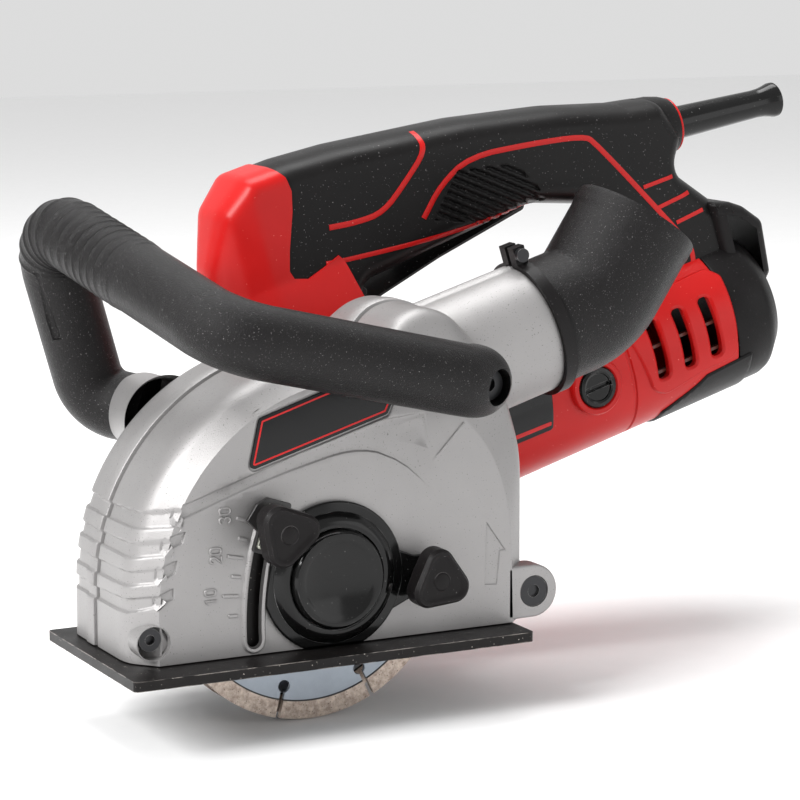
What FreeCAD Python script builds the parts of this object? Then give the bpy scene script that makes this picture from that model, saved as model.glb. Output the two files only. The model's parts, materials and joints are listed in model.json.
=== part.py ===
import FreeCAD, Part
import math
import os

# Wall chaser with two diamond discs, in millimetres.
# Frame: origin at the centre of the outer disc on the spindle axis, +X to the rear,
# +Y to the motor side, +Z up from the base plate. The tool unit behind the spindle is
# laid out in its own tool frame (u along the motor, y, v up), which leans back by
# tool_tilt about the spindle axis when the discs are at full depth.

V = FreeCAD.Vector
X, Y, Z = V(1, 0, 0), V(0, 1, 0), V(0, 0, 1)

# ---- driving dimensions ----
tool_tilt = 17.0
disc_r, disc_t, disc_bore = 62.5, 2.2, 11.1
disc_gap = 12.0
plate_z0, plate_t = -32.5, 4.0
plate_x0, plate_x1, plate_y0, plate_y1 = -90.7, 83.3, -36.6, 56.8
slot_half, slot_y0, slot_y1 = 60.0, -6.0, 18.0

wall = 3.0
guard_y0, guard_y1, split_y = -20.0, 55.0, 22.0
guard_foot = -28.0
split_gap = 0.15

pivot_x, pivot_z = 92.5, -16.0
scale_r = 126.5
stud_angle = 18.0
slot_low_angle = -2.9
slot_w = 6.4
stud_r = 3.0

spindle_r = 7.0
flange_r = 20.0
neck_r = 20.0
motor_y = 97.0
case_r = 36.0
housing_r = 36.5
housing_u0, housing_u1 = 64.5, 255.0
cap_u1 = 275.0

gear_teeth, pinion_teeth = 30, 10
gear_pitch_r, pinion_pitch_r = 27.0, 9.0
gear_face = 8.0

duct_y, duct_v, duct_r = 20.0, 50.0, 27.5
duct_u1 = 137.5
elbow_bend_u, elbow_rise, elbow_reach = 163.0, 39.6, 42.5
elbow_bore_r = 24.5

grip_y0, grip_y1 = 77.5, 116.5
grip_end_u = 277.2
half_gap = 0.1
trigger_pin_u, trigger_pin_v = 92.3, 73.6

bow_r = 15.0
near_foot = V(60, -24.3, 75)
far_boss = V(-41, 75, 55.5)
far_boss_r = 16.0

brush_u = 177.4
lock_y = 69.0
run = 0.05


# ---- small helpers ----
def at(x, y, z):
    return V(x, y, z)


def cyl(r, start, end):
    axis = end - start
    return Part.makeCylinder(r, axis.Length, start, axis)


def ring(r_out, r_in, start, end):
    return cyl(r_out, start, end).cut(cyl(r_in, start, end))


def box(x0, x1, y0, y1, z0, z1):
    return Part.makeBox(x1 - x0, y1 - y0, z1 - z0, at(x0, y0, z0))


def join(shapes):
    out = shapes[0]
    for shape in shapes[1:]:
        out = out.fuse(shape)
    return out.removeSplitter()


def minus(shape, cutters):
    for cutter in cutters:
        shape = shape.cut(cutter)
    return shape


def tilt(shape):
    """Turns a shape from the tool frame to the row frame."""
    moved = shape.copy()
    moved.rotate(V(0, 0, 0), Y, -tool_tilt)
    return moved


def tilt_point(p):
    a = math.radians(tool_tilt)
    return at(p.x * math.cos(a) - p.z * math.sin(a), p.y, p.x * math.sin(a) + p.z * math.cos(a))


def slab(points, y0, y1):
    """Extrudes a closed outline of (x, z) points from y0 to y1."""
    loop = [at(px, y0, pz) for px, pz in points]
    face = Part.Face(Part.makePolygon(loop + loop[:1]))
    return face.extrude(at(0, y1 - y0, 0))


def rounded_loop(points, radii, y):
    """A closed loop of lines with an arc of the given radius at each (x, z) corner."""
    edges = []
    count = len(points)
    starts, ends = [], []
    for i in range(count):
        p = at(points[i][0], y, points[i][1])
        before = at(points[i - 1][0], y, points[i - 1][1]) - p
        after = at(points[(i + 1) % count][0], y, points[(i + 1) % count][1]) - p
        r = radii[i] if isinstance(radii, (list, tuple)) else radii
        before.normalize()
        after.normalize()
        half = before.getAngle(after) / 2
        cut = r / math.tan(half)
        middle = before + after
        middle.normalize()
        centre = p + middle * (r / math.sin(half))
        toward = p - centre
        toward.normalize()
        starts.append(p + before * cut)
        ends.append(p + after * cut)
        edges.append(Part.Arc(starts[-1], centre + toward * r, ends[-1]).toShape())
    loop = []
    for i in range(count):
        loop.append(edges[i])
        nxt = starts[(i + 1) % count]
        if (nxt - ends[i]).Length > 1e-6:
            loop.append(Part.makeLine(ends[i], nxt))
    return Part.Wire(loop)


def rounded_slab(points, radii, y0, y1):
    return Part.Face(rounded_loop(points, radii, y0)).extrude(at(0, y1 - y0, 0))


def bevel_rim(shape, y, size):
    """Chamfers the outer edges that lie in the plane at y."""
    rim = [e for e in shape.Edges
           if abs(e.BoundBox.YMin - y) < 1e-6 and abs(e.BoundBox.YMax - y) < 1e-6]
    return shape.makeChamfer(size, rim)


def pipe(points, bends, r):
    """A round bar along straight runs joined by arcs of the given bend radii."""
    edges = []
    start = points[0]
    for i in range(1, len(points) - 1):
        back = points[i - 1] - points[i]
        ahead = points[i + 1] - points[i]
        back.normalize()
        ahead.normalize()
        half = back.getAngle(ahead) / 2
        cut = bends[i - 1] / math.tan(half)
        middle = back + ahead
        middle.normalize()
        centre = points[i] + middle * (bends[i - 1] / math.sin(half))
        first, last = points[i] + back * cut, points[i] + ahead * cut
        edges.append(Part.makeLine(start, first))
        edges.append(Part.Arc(first, centre - middle * bends[i - 1], last).toShape())
        start = last
    edges.append(Part.makeLine(start, points[-1]))
    path = Part.Wire(edges)
    section = Part.Wire(Part.makeCircle(r, points[0], points[1] - points[0]))
    return path.makePipeShell([section], True, True)


def polar(angle, r=scale_r):
    """A point in the side view at an angle and radius about the depth pivot."""
    a = math.radians(angle)
    return pivot_x - r * math.cos(a), pivot_z + r * math.sin(a)


def arc_band(r_in, r_out, low, high, y0, y1):
    """A band about the depth pivot with rounded ends, between two angles."""
    mid_r, half_w = (r_in + r_out) / 2, (r_out - r_in) / 2

    def p(angle, r):
        x, z = polar(angle, r)
        return at(x, y0, z)

    step = math.degrees(half_w / mid_r)
    middle = (low + high) / 2
    edges = [
        Part.Arc(p(low, r_in), p(middle, r_in), p(high, r_in)).toShape(),
        Part.Arc(p(high, r_in), p(high + step, mid_r), p(high, r_out)).toShape(),
        Part.Arc(p(high, r_out), p(middle, r_out), p(low, r_out)).toShape(),
        Part.Arc(p(low, r_out), p(low - step, mid_r), p(low, r_in)).toShape(),
    ]
    return Part.Face(Part.Wire(edges)).extrude(at(0, y1 - y0, 0))


def coil(r, wire, pitch, turns, start, axis):
    """A helical spring standing on start along axis."""
    helix = Part.makeLongHelix(pitch, pitch * turns, r)
    section = Part.Wire(Part.makeCircle(wire, at(r, 0, 0), Y))
    spring = Part.Wire(helix.Edges).makePipeShell([section], True, True)
    spring.Placement = FreeCAD.Placement(start, FreeCAD.Rotation(Z, axis))
    return spring


# ---- guard shell ----
def guard_wire(y, inset, face):
    """The guard's side outline at y, either the wide body or the narrower flat face."""
    low = guard_foot - (5.0 if inset else 0.0)
    d = inset

    def on(cx, cz, r, angle):
        a = math.radians(angle)
        return at(cx + (r - d) * math.cos(a), y, cz + (r - d) * math.sin(a))

    if face:
        left = at(-73.6 + d, y, -6.6)
        arc = [on(11.7, -6.6, 85.1, 135), on(11.7, -6.6, 85.1, 92)]
        rise = on(12.0, 8.2, 70.8, 78)
        hump = [on(12.0, 8.2, 70.8, 66), on(12.0, 8.2, 70.8, 54)]
        fall = [on(12.0, 8.2, 70.8, 30), at(82.6 - d, y, 8.2)]
        right = at(82.6 - d, y, low)
        foot = at(-73.6 + d, y, low)
    else:
        left = at(-83.3 + d, y, -5.5)
        arc = [on(8.4, -5.5, 91.7, 135), on(8.4, -5.5, 91.7, 80)]
        rise = at(36 + d * 0.4, y, 99.5 - d)
        hump = [at(48, y, 103.6 - d), at(62 - d * 0.4, y, 99.0 - d)]
        fall = [at(84 - d, y, 72 - d * 0.5), at(93 - d, y, 44)]
        right = at(93 - d, y, low)
        foot = at(-83.3 + d, y, low)
    edges = [
        Part.makeLine(foot, left),
        Part.Arc(left, arc[0], arc[1]).toShape(),
        Part.makeLine(arc[1], rise),
        Part.Arc(rise, hump[0], hump[1]).toShape(),
        Part.makeLine(hump[1], fall[0]),
        Part.makeLine(fall[0], fall[1]),
        Part.makeLine(fall[1], right),
        Part.makeLine(right, foot),
    ]
    return Part.Wire(edges)


def guard_block(inset):
    """The guard as a closed block, inset all round by the wall for its hollow."""
    near_flat, near_wide = guard_y0 + inset, guard_y0 + 11.0
    far_flat, far_wide = guard_y1 - inset, guard_y1 - 9.0
    near = Part.makeLoft([guard_wire(near_flat, inset, True), guard_wire(near_wide, inset, False)], True, True)
    body = Part.Face(guard_wire(near_wide, inset, False)).extrude(at(0, far_wide - near_wide, 0))
    far = Part.makeLoft([guard_wire(far_wide, inset, False), guard_wire(far_flat, inset, True)], True, True)
    return join([near, body, far])


def duct_tube(r, u0, u1):
    return tilt(cyl(r, at(u0, duct_y, duct_v), at(u1, duct_y, duct_v)))


def pivot_lug(y0, y1):
    """A round lug at the depth pivot."""
    return cyl(11.0, at(pivot_x, y0, pivot_z), at(pivot_x, y1, pivot_z))


def guard_shell():
    shell = join([guard_block(0.0), duct_tube(duct_r, 55, duct_u1)])
    shell = minus(shell, [guard_block(wall), duct_tube(duct_r - 2.9, 62, duct_u1 + 5)])
    near_boss = cyl(13.0, at(near_foot.x, -24, near_foot.z), at(near_foot.x, -6, near_foot.z))
    far_side = cyl(far_boss_r, at(far_boss.x, 50, far_boss.z), far_boss)
    shell = join([
        shell,
        near_boss,
        far_side,
        pivot_lug(guard_y0, -9),
        pivot_lug(43.5, guard_y1),
        arc_band(scale_r - 4.6, scale_r + 4.6, slot_low_angle, stud_angle + 1.2, guard_y0 - 1.2, guard_y0),
        cyl(8.0, at(41, guard_y0, -3.3), at(41, -13, -3.3)),
        cyl(8.0, at(-77.0, guard_y0, -17.5), at(-77.0, split_y + 8, -17.5)).common(guard_block(0.0)),
    ])
    ear_gap = [
        cyl(9.8, at(pivot_x, y0, pivot_z), at(pivot_x, y1, pivot_z)).fuse(box(70, pivot_x, y0, y1, -40, pivot_z + 9.8))
        for y0, y1 in ((-16.6, -13.8), (49.1, 51.9))
    ]
    cuts = [
        arc_band(scale_r - slot_w / 2, scale_r + slot_w / 2, slot_low_angle, stud_angle + 1.2, -24, -15),
        cyl(24.5, at(0, -25, 0), at(0, -15, 0)),
        cyl(neck_r + 0.02, at(0, 48, 0), at(0, 58, 0)),
        cyl(4.0, at(pivot_x, -22, pivot_z), at(pivot_x, -8, pivot_z)),
        cyl(6.6, at(pivot_x, -22, pivot_z), at(pivot_x, -17.9, pivot_z)),
        cyl(4.0, at(pivot_x, 42, pivot_z), at(pivot_x, 57, pivot_z)),
        cyl(6.6, at(pivot_x, 53.0, pivot_z), at(pivot_x, 57, pivot_z)),
        cyl(stud_r + run, at(41, -22, -3.3), at(41, -12, -3.3)),
        cyl(4.0, at(near_foot.x, -26, near_foot.z), at(near_foot.x, -8, near_foot.z)),
        cyl(4.0, at(far_boss.x, 58, far_boss.z), at(far_boss.x, 76, far_boss.z)),
        screw_path(-77.0, -17.5, -21),
    ]
    return minus(shell, ear_gap + cuts)


def screw_path(x, z, y):
    return cyl(2.5, at(x, y, z), at(x, split_y + 7, z)).fuse(cyl(6.5, at(x, y, z), at(x, -15.5, z)))


def guard_near_half(shell):
    return shell.common(box(-120, 160, -60, split_y - split_gap, -60, 160))


def guard_far_half(shell):
    return shell.common(box(-120, 160, split_y + split_gap, 120, -60, 160))


def scale_marks():
    """Raised ticks for every 5 mm of depth, pointing at the depth pivot."""
    ticks = []
    for depth in range(5, 35, 5):
        angle = depth_angle(depth) + stud_angle - depth_angle(30)
        length = 7.0 if depth % 10 == 0 else 4.0
        inner = polar(angle, scale_r + 6.2)
        tick = box(-length, 0, guard_y0 - 0.8, guard_y0 + 0.5, -0.7, 0.7)
        tick.rotate(V(0, 0, 0), Y, angle)
        tick.translate(at(inner[0], 0, inner[1]))
        ticks.append(tick)
    return ticks


def depth_angle(depth):
    """Swing of the spindle above the pivot line for a cutting depth, in degrees."""
    arm = math.hypot(pivot_x, pivot_z)
    return -math.degrees(math.asin((disc_r - depth - (pivot_z - plate_z0)) / arm))


def guard_screws():
    shank = cyl(2.5, at(-77.0, -15.5, -17.5), at(-77.0, split_y + 6.5, -17.5))
    head = cyl(4.6, at(-77.0, -18.6, -17.5), at(-77.0, -15.5, -17.5))
    socket = cyl(2.0, at(-77.0, -18.7, -17.5), at(-77.0, -16.4, -17.5))
    return join([shank, head]).cut(socket)


def pivot_screws():
    screws = []
    for y_head, y_seat, y_end in ((-19.6, -17.9, -9.2), (54.7, 53.0, 43.8)):
        screw = join([
            cyl(4.0, at(pivot_x, y_seat, pivot_z), at(pivot_x, y_end, pivot_z)),
            cyl(6.3, at(pivot_x, y_head, pivot_z), at(pivot_x, y_seat, pivot_z)),
        ])
        inward = 1.2 if y_end > y_head else -1.2
        socket = cyl(2.6, at(pivot_x, y_head - inward, pivot_z), at(pivot_x, y_head + inward, pivot_z))
        screws.append(screw.cut(socket))
    return Part.makeCompound(screws)


# ---- depth frame: base plate, cheeks, stud and pointer ----
def base_plate():
    corners = [(plate_x0, plate_y0), (plate_x1, plate_y0), (plate_x1, plate_y1), (plate_x0, plate_y1)]
    outline = rounded_loop([(cx, cy) for cx, cy in corners], 2.0, 0.0)
    plate = Part.Face(outline).extrude(at(0, plate_t, 0))
    plate.rotate(V(0, 0, 0), X, 90)
    plate = plate.mirror(V(0, 0, 0), Y)
    plate.translate(at(0, 0, plate_z0 - plate.BoundBox.ZMin))
    plate.translate(at(0, plate_y0 - plate.BoundBox.YMin, 0))
    slot = box(-slot_half, slot_half, slot_y0, slot_y1, plate_z0 - 1, plate_z0 + plate_t + 1)
    return plate.cut(slot)


def cheek(y0, y1, with_riser):
    top = plate_z0 + plate_t
    strip = slab([(-66, top), (84, top), (84, -22), (70, -21.5), (-66, -21.5)], y0, y1)
    ear = cyl(9.0, at(pivot_x, y0, pivot_z), at(pivot_x, y1, pivot_z))
    web = slab([(70, top), (84, top), (90, -24.5), (96, -8), (88, -8), (70, -21.5)], y0, y1)
    pieces = [strip, web, ear]
    if with_riser:
        sx, sz = polar(stud_angle)
        pieces.append(slab([(-52, -22.5), (-27, -22.5), (-24.5, -10), (-24, sz + 5), (sx - 6, sz + 5)], y0, y1))
    plate = join(pieces).cut(cyl(4.0 + run, at(pivot_x, y0, pivot_z), at(pivot_x, y1, pivot_z)))
    if with_riser:
        sx, sz = polar(stud_angle)
        plate = plate.cut(cyl(stud_r, at(sx, y0, sz), at(sx, y1, sz)))
    return plate


def depth_stud():
    sx, sz = polar(stud_angle)
    shank = cyl(stud_r, at(sx, -34, sz), at(sx, -12.2, sz))
    return join([shank, cyl(6.0, at(sx, -14.2, sz), at(sx, -12.0, sz))])


def depth_pointer():
    """Black slide that straddles the slot, with a tip that reads the scale."""
    sx, sz = polar(stud_angle)
    flat = slab([(-9, 7.5), (-5.4, 11), (5.6, 11), (5.6, -11), (-5.4, -11), (-5.4, -3), (-11.2, 0)], -25.0, -23.0)
    guide = box(-2.7, 2.7, -23.0, -19.0, -3.2, 3.2)
    slide = join([flat, guide])
    slide.rotate(V(0, 0, 0), Y, stud_angle)
    slide.translate(at(sx, 0, sz))
    return slide.cut(cyl(stud_r, at(sx, -30, sz), at(sx, -15, sz)))


def depth_clamp_plate():
    sx, sz = polar(stud_angle)
    plate = box(-4.6, 4.6, -26.6, -25.0, -9.0, 9.0)
    lips = [box(-4.6, 4.6, -27.6, -26.6, 7.8, 9.0), box(-4.6, 4.6, -27.6, -26.6, -9.0, -7.8)]
    plate = join([plate] + lips)
    plate.rotate(V(0, 0, 0), Y, stud_angle)
    plate.translate(at(sx, 0, sz))
    return plate.cut(cyl(stud_r, at(sx, -30, sz), at(sx, -15, sz)))


def wing_knob(x, z, y_seat, spin, bore_depth, stud_end):
    """Three-cornered clamping knob with a round hub, either nut or screw."""
    reach = 16.5
    corners = [(reach * math.cos(math.radians(a + spin)), reach * math.sin(math.radians(a + spin)))
               for a in (90, 210, 330)]
    head = rounded_slab(corners, 5.2, y_seat - 14.5, y_seat - 5.0)
    knob = join([head, cyl(7.0, at(0, y_seat - 5.5, 0), at(0, y_seat, 0))])
    if bore_depth:
        knob = knob.cut(cyl(stud_r + run, at(0, y_seat - bore_depth, 0), at(0, y_seat + 1, 0)))
    if stud_end:
        knob = join([knob, cyl(stud_r, at(0, y_seat - 2, 0), at(0, stud_end, 0))])
    knob.translate(at(x, 0, z))
    return knob


# ---- near side cover ----
def hub_cover():
    disc = cyl(30.5, at(0, -22.6, 0), at(0, -20.1, 0))
    arm = slab([(20, 15), (27, 9), (36, 5), (41, 5.4), (41, -12), (34, -12.5), (22, -21)], -22.6, -20.1)
    end = cyl(8.7, at(41, -22.6, -3.3), at(41, -20.1, -3.3))
    cover = join([disc, arm, end])
    keep = cyl(scale_r - 4.7, at(pivot_x, -30, pivot_z), at(pivot_x, -15, pivot_z))
    cover = cover.common(keep).common(box(-60, 80, -30, -15, -27.6, 60))
    collar = ring(22.0, 20.0, at(0, -26.0, 0), at(0, -22.6, 0))
    cover = join([cover, collar])
    cuts = [cyl(20.0, at(0, -27, 0), at(0, -19, 0)), cyl(stud_r + run, at(41, -27, -3.3), at(41, -19, -3.3))]
    return minus(cover, cuts)


def hub_cap():
    cap = Part.makeCone(20.0, 18.6, 1.4, at(0, -27.4, 0), at(0, -1, 0))
    body = cyl(20.0, at(0, -27.4, 0), at(0, -18.5, 0))
    hollow = cyl(17.5, at(0, -25.4, 0), at(0, -18, 0))
    return join([cap, body]).cut(hollow)


# ---- spindle ----
def spindle_shaft():
    return join([
        cyl(spindle_r, at(0, -10.5, 0), at(0, 92, 0)),
        cyl(5.0, at(0, 92, 0), at(0, 110.5, 0)),
        cyl(9.5, at(0, 42, 0), at(0, 74, 0)),
    ]).cut(box(-8, 8, -11, -8.5, 4.6, 8)).cut(box(-8, 8, -11, -8.5, -8, -4.6))


def inner_flange():
    y_face = disc_gap + disc_t / 2
    flange = join([
        cyl(flange_r, at(0, y_face, 0), at(0, 18.3, 0)),
        cyl(disc_bore, at(0, -disc_t / 2, 0), at(0, y_face, 0)),
    ])
    return flange.cut(cyl(spindle_r, at(0, -2, 0), at(0, 19, 0)))


def diamond_disc(y_mid):
    """Segmented diamond disc: a thin steel core and a wider rim cut by keyhole gullets."""
    core = cyl(disc_r - 7.5, at(0, y_mid - 0.8, 0), at(0, y_mid + 0.8, 0))
    rim = ring(disc_r, disc_r - 7.5, at(0, y_mid - disc_t / 2, 0), at(0, y_mid + disc_t / 2, 0))
    disc = join([core, rim]).cut(cyl(disc_bore, at(0, y_mid - 2, 0), at(0, y_mid + 2, 0)))
    cuts = []
    for i in range(9):
        slot = box(-1.0, 1.0, y_mid - 2, y_mid + 2, disc_r - 12, disc_r + 2)
        eye = cyl(2.6, at(0, y_mid - 2, disc_r - 13), at(0, y_mid + 2, disc_r - 13))
        gullet = slot.fuse(eye)
        gullet.rotate(V(0, 0, 0), Y, 40.0 * i + 34)
        cuts.append(gullet)
    return disc.cut(cuts)


def disc_spacers():
    y0, y1 = disc_t / 2, disc_gap - disc_t / 2
    middle = (y0 + y1) / 2
    return Part.makeCompound([
        ring(flange_r, disc_bore, at(0, y0, 0), at(0, middle, 0)),
        ring(flange_r, disc_bore, at(0, middle, 0), at(0, y1, 0)),
    ])


def clamp_nut():
    nut = ring(flange_r, spindle_r, at(0, -6.6, 0), at(0, -disc_t / 2, 0))
    holes = [cyl(2.5, at(14, -8, 0), at(14, -3, 0)), cyl(2.5, at(-14, -8, 0), at(-14, -3, 0))]
    return minus(nut, holes)


def bevel_gear(teeth, pitch_r, cone, addendum, dedendum, thickness_share):
    """Straight bevel gear about +Z with its cone's apex at the origin."""
    slant = pitch_r / math.sin(cone)
    inner = (slant - gear_face) / slant

    def ring_point(scale, offset, angle):
        out = pitch_r + offset * math.cos(cone)
        up = slant * math.cos(cone) - offset * math.sin(cone)
        return at(out * scale * math.cos(angle), out * scale * math.sin(angle), up * scale)

    def face(points):
        return Part.Face(Part.makePolygon(points + points[:1]))

    pitch_half = math.pi / teeth * thickness_share
    sink = dedendum + 0.6
    solids = []
    for i in range(teeth):
        middle = 2 * math.pi * i / teeth
        loops = []
        for scale in (1.0, inner):
            root, tip = pitch_half * 1.45, pitch_half * 0.6
            loops.append([
                ring_point(scale, -sink, middle - root),
                ring_point(scale, addendum, middle - tip),
                ring_point(scale, addendum, middle + tip),
                ring_point(scale, -sink, middle + root),
            ])
        faces = [face(loops[0]), face(loops[1])]
        for k in range(4):
            n = (k + 1) % 4
            faces.append(face([loops[0][k], loops[0][n], loops[1][n], loops[1][k]]))
        solids.append(Part.makeSolid(Part.makeShell(faces)))
    outer, small = ring_point(1.0, -dedendum, 0), ring_point(inner, -dedendum, 0)
    back = outer.z + 2.2
    profile = Part.makePolygon([at(0, 0, small.z), at(small.x, 0, small.z), at(outer.x, 0, outer.z),
                                at(outer.x - 1.0, 0, back), at(0, 0, back), at(0, 0, small.z)])
    blank = Part.Face(profile).revolve(V(0, 0, 0), Z, 360)
    return blank.multiFuse(solids).removeSplitter(), small.z, back


def crown_gear():
    cone = math.atan2(gear_pitch_r, pinion_pitch_r)
    gear, front, back = bevel_gear(gear_teeth, gear_pitch_r, cone, 1.1, 2.2, 0.42)
    hub = cyl(13.0, at(0, 0, front + 0.5), at(0, 0, back + 3.5))
    gear = join([gear, hub])
    gear.rotate(V(0, 0, 0), X, 90)
    gear.rotate(V(0, 0, 0), Y, 180.0 / gear_teeth)
    gear.translate(at(0, motor_y, 0))
    return tilt(gear).cut(cyl(spindle_r, at(0, 60, 0), at(0, 92.0, 0)))


def pinion():
    cone = math.atan2(pinion_pitch_r, gear_pitch_r)
    gear, front, back = bevel_gear(pinion_teeth, pinion_pitch_r, cone, 1.9, 1.5, 0.42)
    hub = cyl(6.5, at(0, 0, back - 0.5), at(0, 0, back + 5))
    gear = join([gear, hub]).cut(cyl(3.5, at(0, 0, 0), at(0, 0, 60)))
    gear.rotate(V(0, 0, 0), Z, 180.0 / pinion_teeth)
    gear.rotate(V(0, 0, 0), Y, 90)
    gear.translate(at(0, motor_y, 0))
    return tilt(gear)


def shielded_bearing(r_out, r_in, start, end):
    return ring(r_out, r_in + run, start, end)


# ---- armature ----
def on_motor(u):
    return at(u, motor_y, 0)


def armature_shaft():
    return tilt(join([
        cyl(3.5, on_motor(18.5), on_motor(45)),
        cyl(6.0, on_motor(45), on_motor(62)),
        cyl(7.0, on_motor(62), on_motor(190)),
        cyl(5.0, on_motor(190), on_motor(208)),
    ]))


def armature_core():
    core = ring(23.6, 7.0, on_motor(104), on_motor(152))
    slots = []
    for i in range(12):
        slot = box(103, 153, motor_y - 1.2, motor_y + 1.2, 16, 25)
        slot.rotate(on_motor(0), X, 30.0 * i)
        slots.append(slot)
    return tilt(core.cut(slots))


def armature_windings():
    return tilt(Part.makeCompound([
        ring(21.0, 7.0, on_motor(92.5), on_motor(104)),
        ring(21.0, 7.0, on_motor(152), on_motor(163)),
    ]))


def commutator():
    body = ring(13.0, 7.0, on_motor(166), on_motor(188))
    grooves = []
    for i in range(24):
        groove = box(168, 188.5, motor_y - 0.25, motor_y + 0.25, 12, 14)
        groove.rotate(on_motor(0), X, 15.0 * i)
        grooves.append(groove)
    return tilt(body.cut(grooves))


def cooling_fan():
    hub = ring(12.0, 7.0, on_motor(72), on_motor(88))
    back = ring(30.0, 7.0, on_motor(86), on_motor(88))
    blades = []
    for i in range(11):
        blade = box(72, 86.5, motor_y - 0.8, motor_y + 0.8, 11, 30)
        blade.rotate(at(72, motor_y, 20), Z, 14)
        blade.rotate(on_motor(0), X, 360.0 / 11 * i)
        blades.append(blade)
    return tilt(join([hub, back] + blades).common(cyl(30.5, on_motor(72), on_motor(88))))


# ---- gear case ----
def gear_case():
    outer = join([
        cyl(neck_r, at(0, 19.0, 0), at(0, 60, 0)),
        cyl(33.0, at(0, guard_y1, 0), at(0, 61, 0)).common(box(-50, 50, 50, 70, -27.0, 50)),
        cyl(case_r, at(0, 60.0, 0), at(0, 112, 0)),
        tilt(cyl(30.0, on_motor(0), on_motor(41))).common(box(-60, 60, 60, 112, -60, 60)),
        tilt(cyl(case_r + 2, on_motor(40), on_motor(64))),
    ])
    cavity = join([
        cyl(31.0, at(0, 64, 0), at(0, 113, 0)),
        tilt(cyl(13.5, on_motor(10), on_motor(46.1))),
        tilt(cyl(32.0, on_motor(59), on_motor(65))),
    ])
    cuts = [
        cavity,
        cyl(15.0, at(0, 18, 0), at(0, 36, 0)),
        cyl(10.5, at(0, 18, 0), at(0, 70, 0)),
        tilt(cyl(13.0, on_motor(46), on_motor(60))),
        tilt(cyl(8.0, on_motor(30), on_motor(60))),
        tilt(cyl(5.0 + run, at(0, lock_y, 20), at(0, lock_y, 50))),
        tilt(cyl(7.3, at(0, lock_y, 33.0), at(0, lock_y, 50))),
    ]
    for x, z in cover_screw_places():
        cuts.append(cyl(1.6, at(x, 104, z), at(x, 113, z)))
    return minus(outer, cuts)


def cover_screw_places():
    corners = [math.radians(a) for a in range(45, 405, 90)]
    return [(33.4 * math.cos(a), 33.4 * math.sin(a)) for a in corners]


def gear_case_cover():
    plate = join([
        cyl(case_r, at(0, 112, 0), at(0, 116, 0)),
        cyl(30.8, at(0, 109.5, 0), at(0, 112, 0)),
        cyl(14.0, at(0, 116, 0), at(0, 121, 0)),
    ])
    cuts = [cyl(9.0, at(0, 109, 0), at(0, 118, 0))]
    for x, z in cover_screw_places():
        cuts.append(cyl(1.6, at(x, 108, z), at(x, 120, z)))
    return minus(plate, cuts)


def gear_case_screws():
    screws = []
    for x, z in cover_screw_places():
        screw = join([
            cyl(1.6, at(x, 104.5, z), at(x, 116, z)),
            cyl(2.6, at(x, 116, z), at(x, 118.4, z)),
        ])
        screws.append(screw.cut(cyl(1.1, at(x, 117, z), at(x, 119, z))))
    return Part.makeCompound(screws)


def spindle_lock_pin():
    """Push button whose pin is pressed toward the spindle's collar to hold it."""
    return tilt(join([
        cyl(2.5, at(0, lock_y, 13.2), at(0, lock_y, 32)),
        cyl(5.0, at(0, lock_y, 31.5), at(0, lock_y, 41)),
        cyl(7.0, at(0, lock_y, 41), at(0, lock_y, 45)),
    ]))


def spindle_lock_spring():
    return tilt(coil(6.2, 0.45, 1.8, 3.5, at(0, lock_y, 33.6), Z))


# ---- motor ----
def motor_housing():
    tube = ring(housing_r, housing_r - wall, on_motor(housing_u0), on_motor(housing_u1))
    spider = ring(housing_r - wall, 11.0, on_motor(193), on_motor(207))
    windows = []
    for i in range(4):
        window = box(192, 208, motor_y - 12, motor_y + 12, 17, 31)
        window.rotate(on_motor(0), X, 45 + 90.0 * i)
        windows.append(window)
    spider = spider.cut(windows)
    boss = cyl(12.5, at(brush_u, motor_y - 39, 0), at(brush_u, motor_y + 39, 0))
    boss = boss.cut(cyl(housing_r - wall, on_motor(160), on_motor(195)))
    housing = join([tube, spider, boss])
    vents = []
    for side in (-1, 1):
        for i in range(3):
            u = 214 + 14.6 * i
            y0, y1 = sorted((motor_y + side * 24, motor_y + side * 40))
            vents.append(rounded_slab([(u + 3, 18), (u - 3, 18), (u - 4, -10), (u + 2, -10)], 2.5, y0, y1))
    vents.append(cyl(9.5, at(brush_u, 55, 0), at(brush_u, 140, 0)))
    return tilt(minus(housing, vents))


def motor_rear_cap():
    shell = cyl(housing_r, on_motor(housing_u1), on_motor(cap_u1))
    cone = Part.makeCone(housing_r, housing_r - 8, 8, on_motor(cap_u1), X)
    crest = rounded_slab([(grip_end_u, 6), (grip_end_u, 50), (283, 46), (291, 36.5), (289, 12), (283, 6)],
                         [1, 2, 5, 6, 4, 2], motor_y - 24, motor_y + 24)
    outer = join([shell, cone, crest])
    hollow = cyl(housing_r - wall, on_motor(housing_u1 - 1), on_motor(cap_u1 - 1))
    return tilt(outer.cut(hollow))


def stator_core():
    core = ring(33.4, 24.4, on_motor(104), on_motor(152))
    pockets = [box(103, 153, motor_y - 30, motor_y - 12, -7, 7), box(103, 153, motor_y + 12, motor_y + 30, -7, 7)]
    return tilt(minus(core, pockets))


def field_windings():
    coils = []
    for side in (-1, 1):
        y0, y1 = sorted((motor_y + side * 25.0, motor_y + side * 29.5))
        bundle = box(96, 160, y0, y1, -6.5, 6.5)
        ends = [ring(31.5, 25.0, on_motor(97), on_motor(103.8)), ring(31.5, 25.0, on_motor(152.2), on_motor(159))]
        half = box(90, 170, min(motor_y, motor_y + side * 40), max(motor_y, motor_y + side * 40), -40, 40)
        coils.append(join([bundle] + [e.common(half) for e in ends]))
    return tilt(Part.makeCompound(coils))


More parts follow.
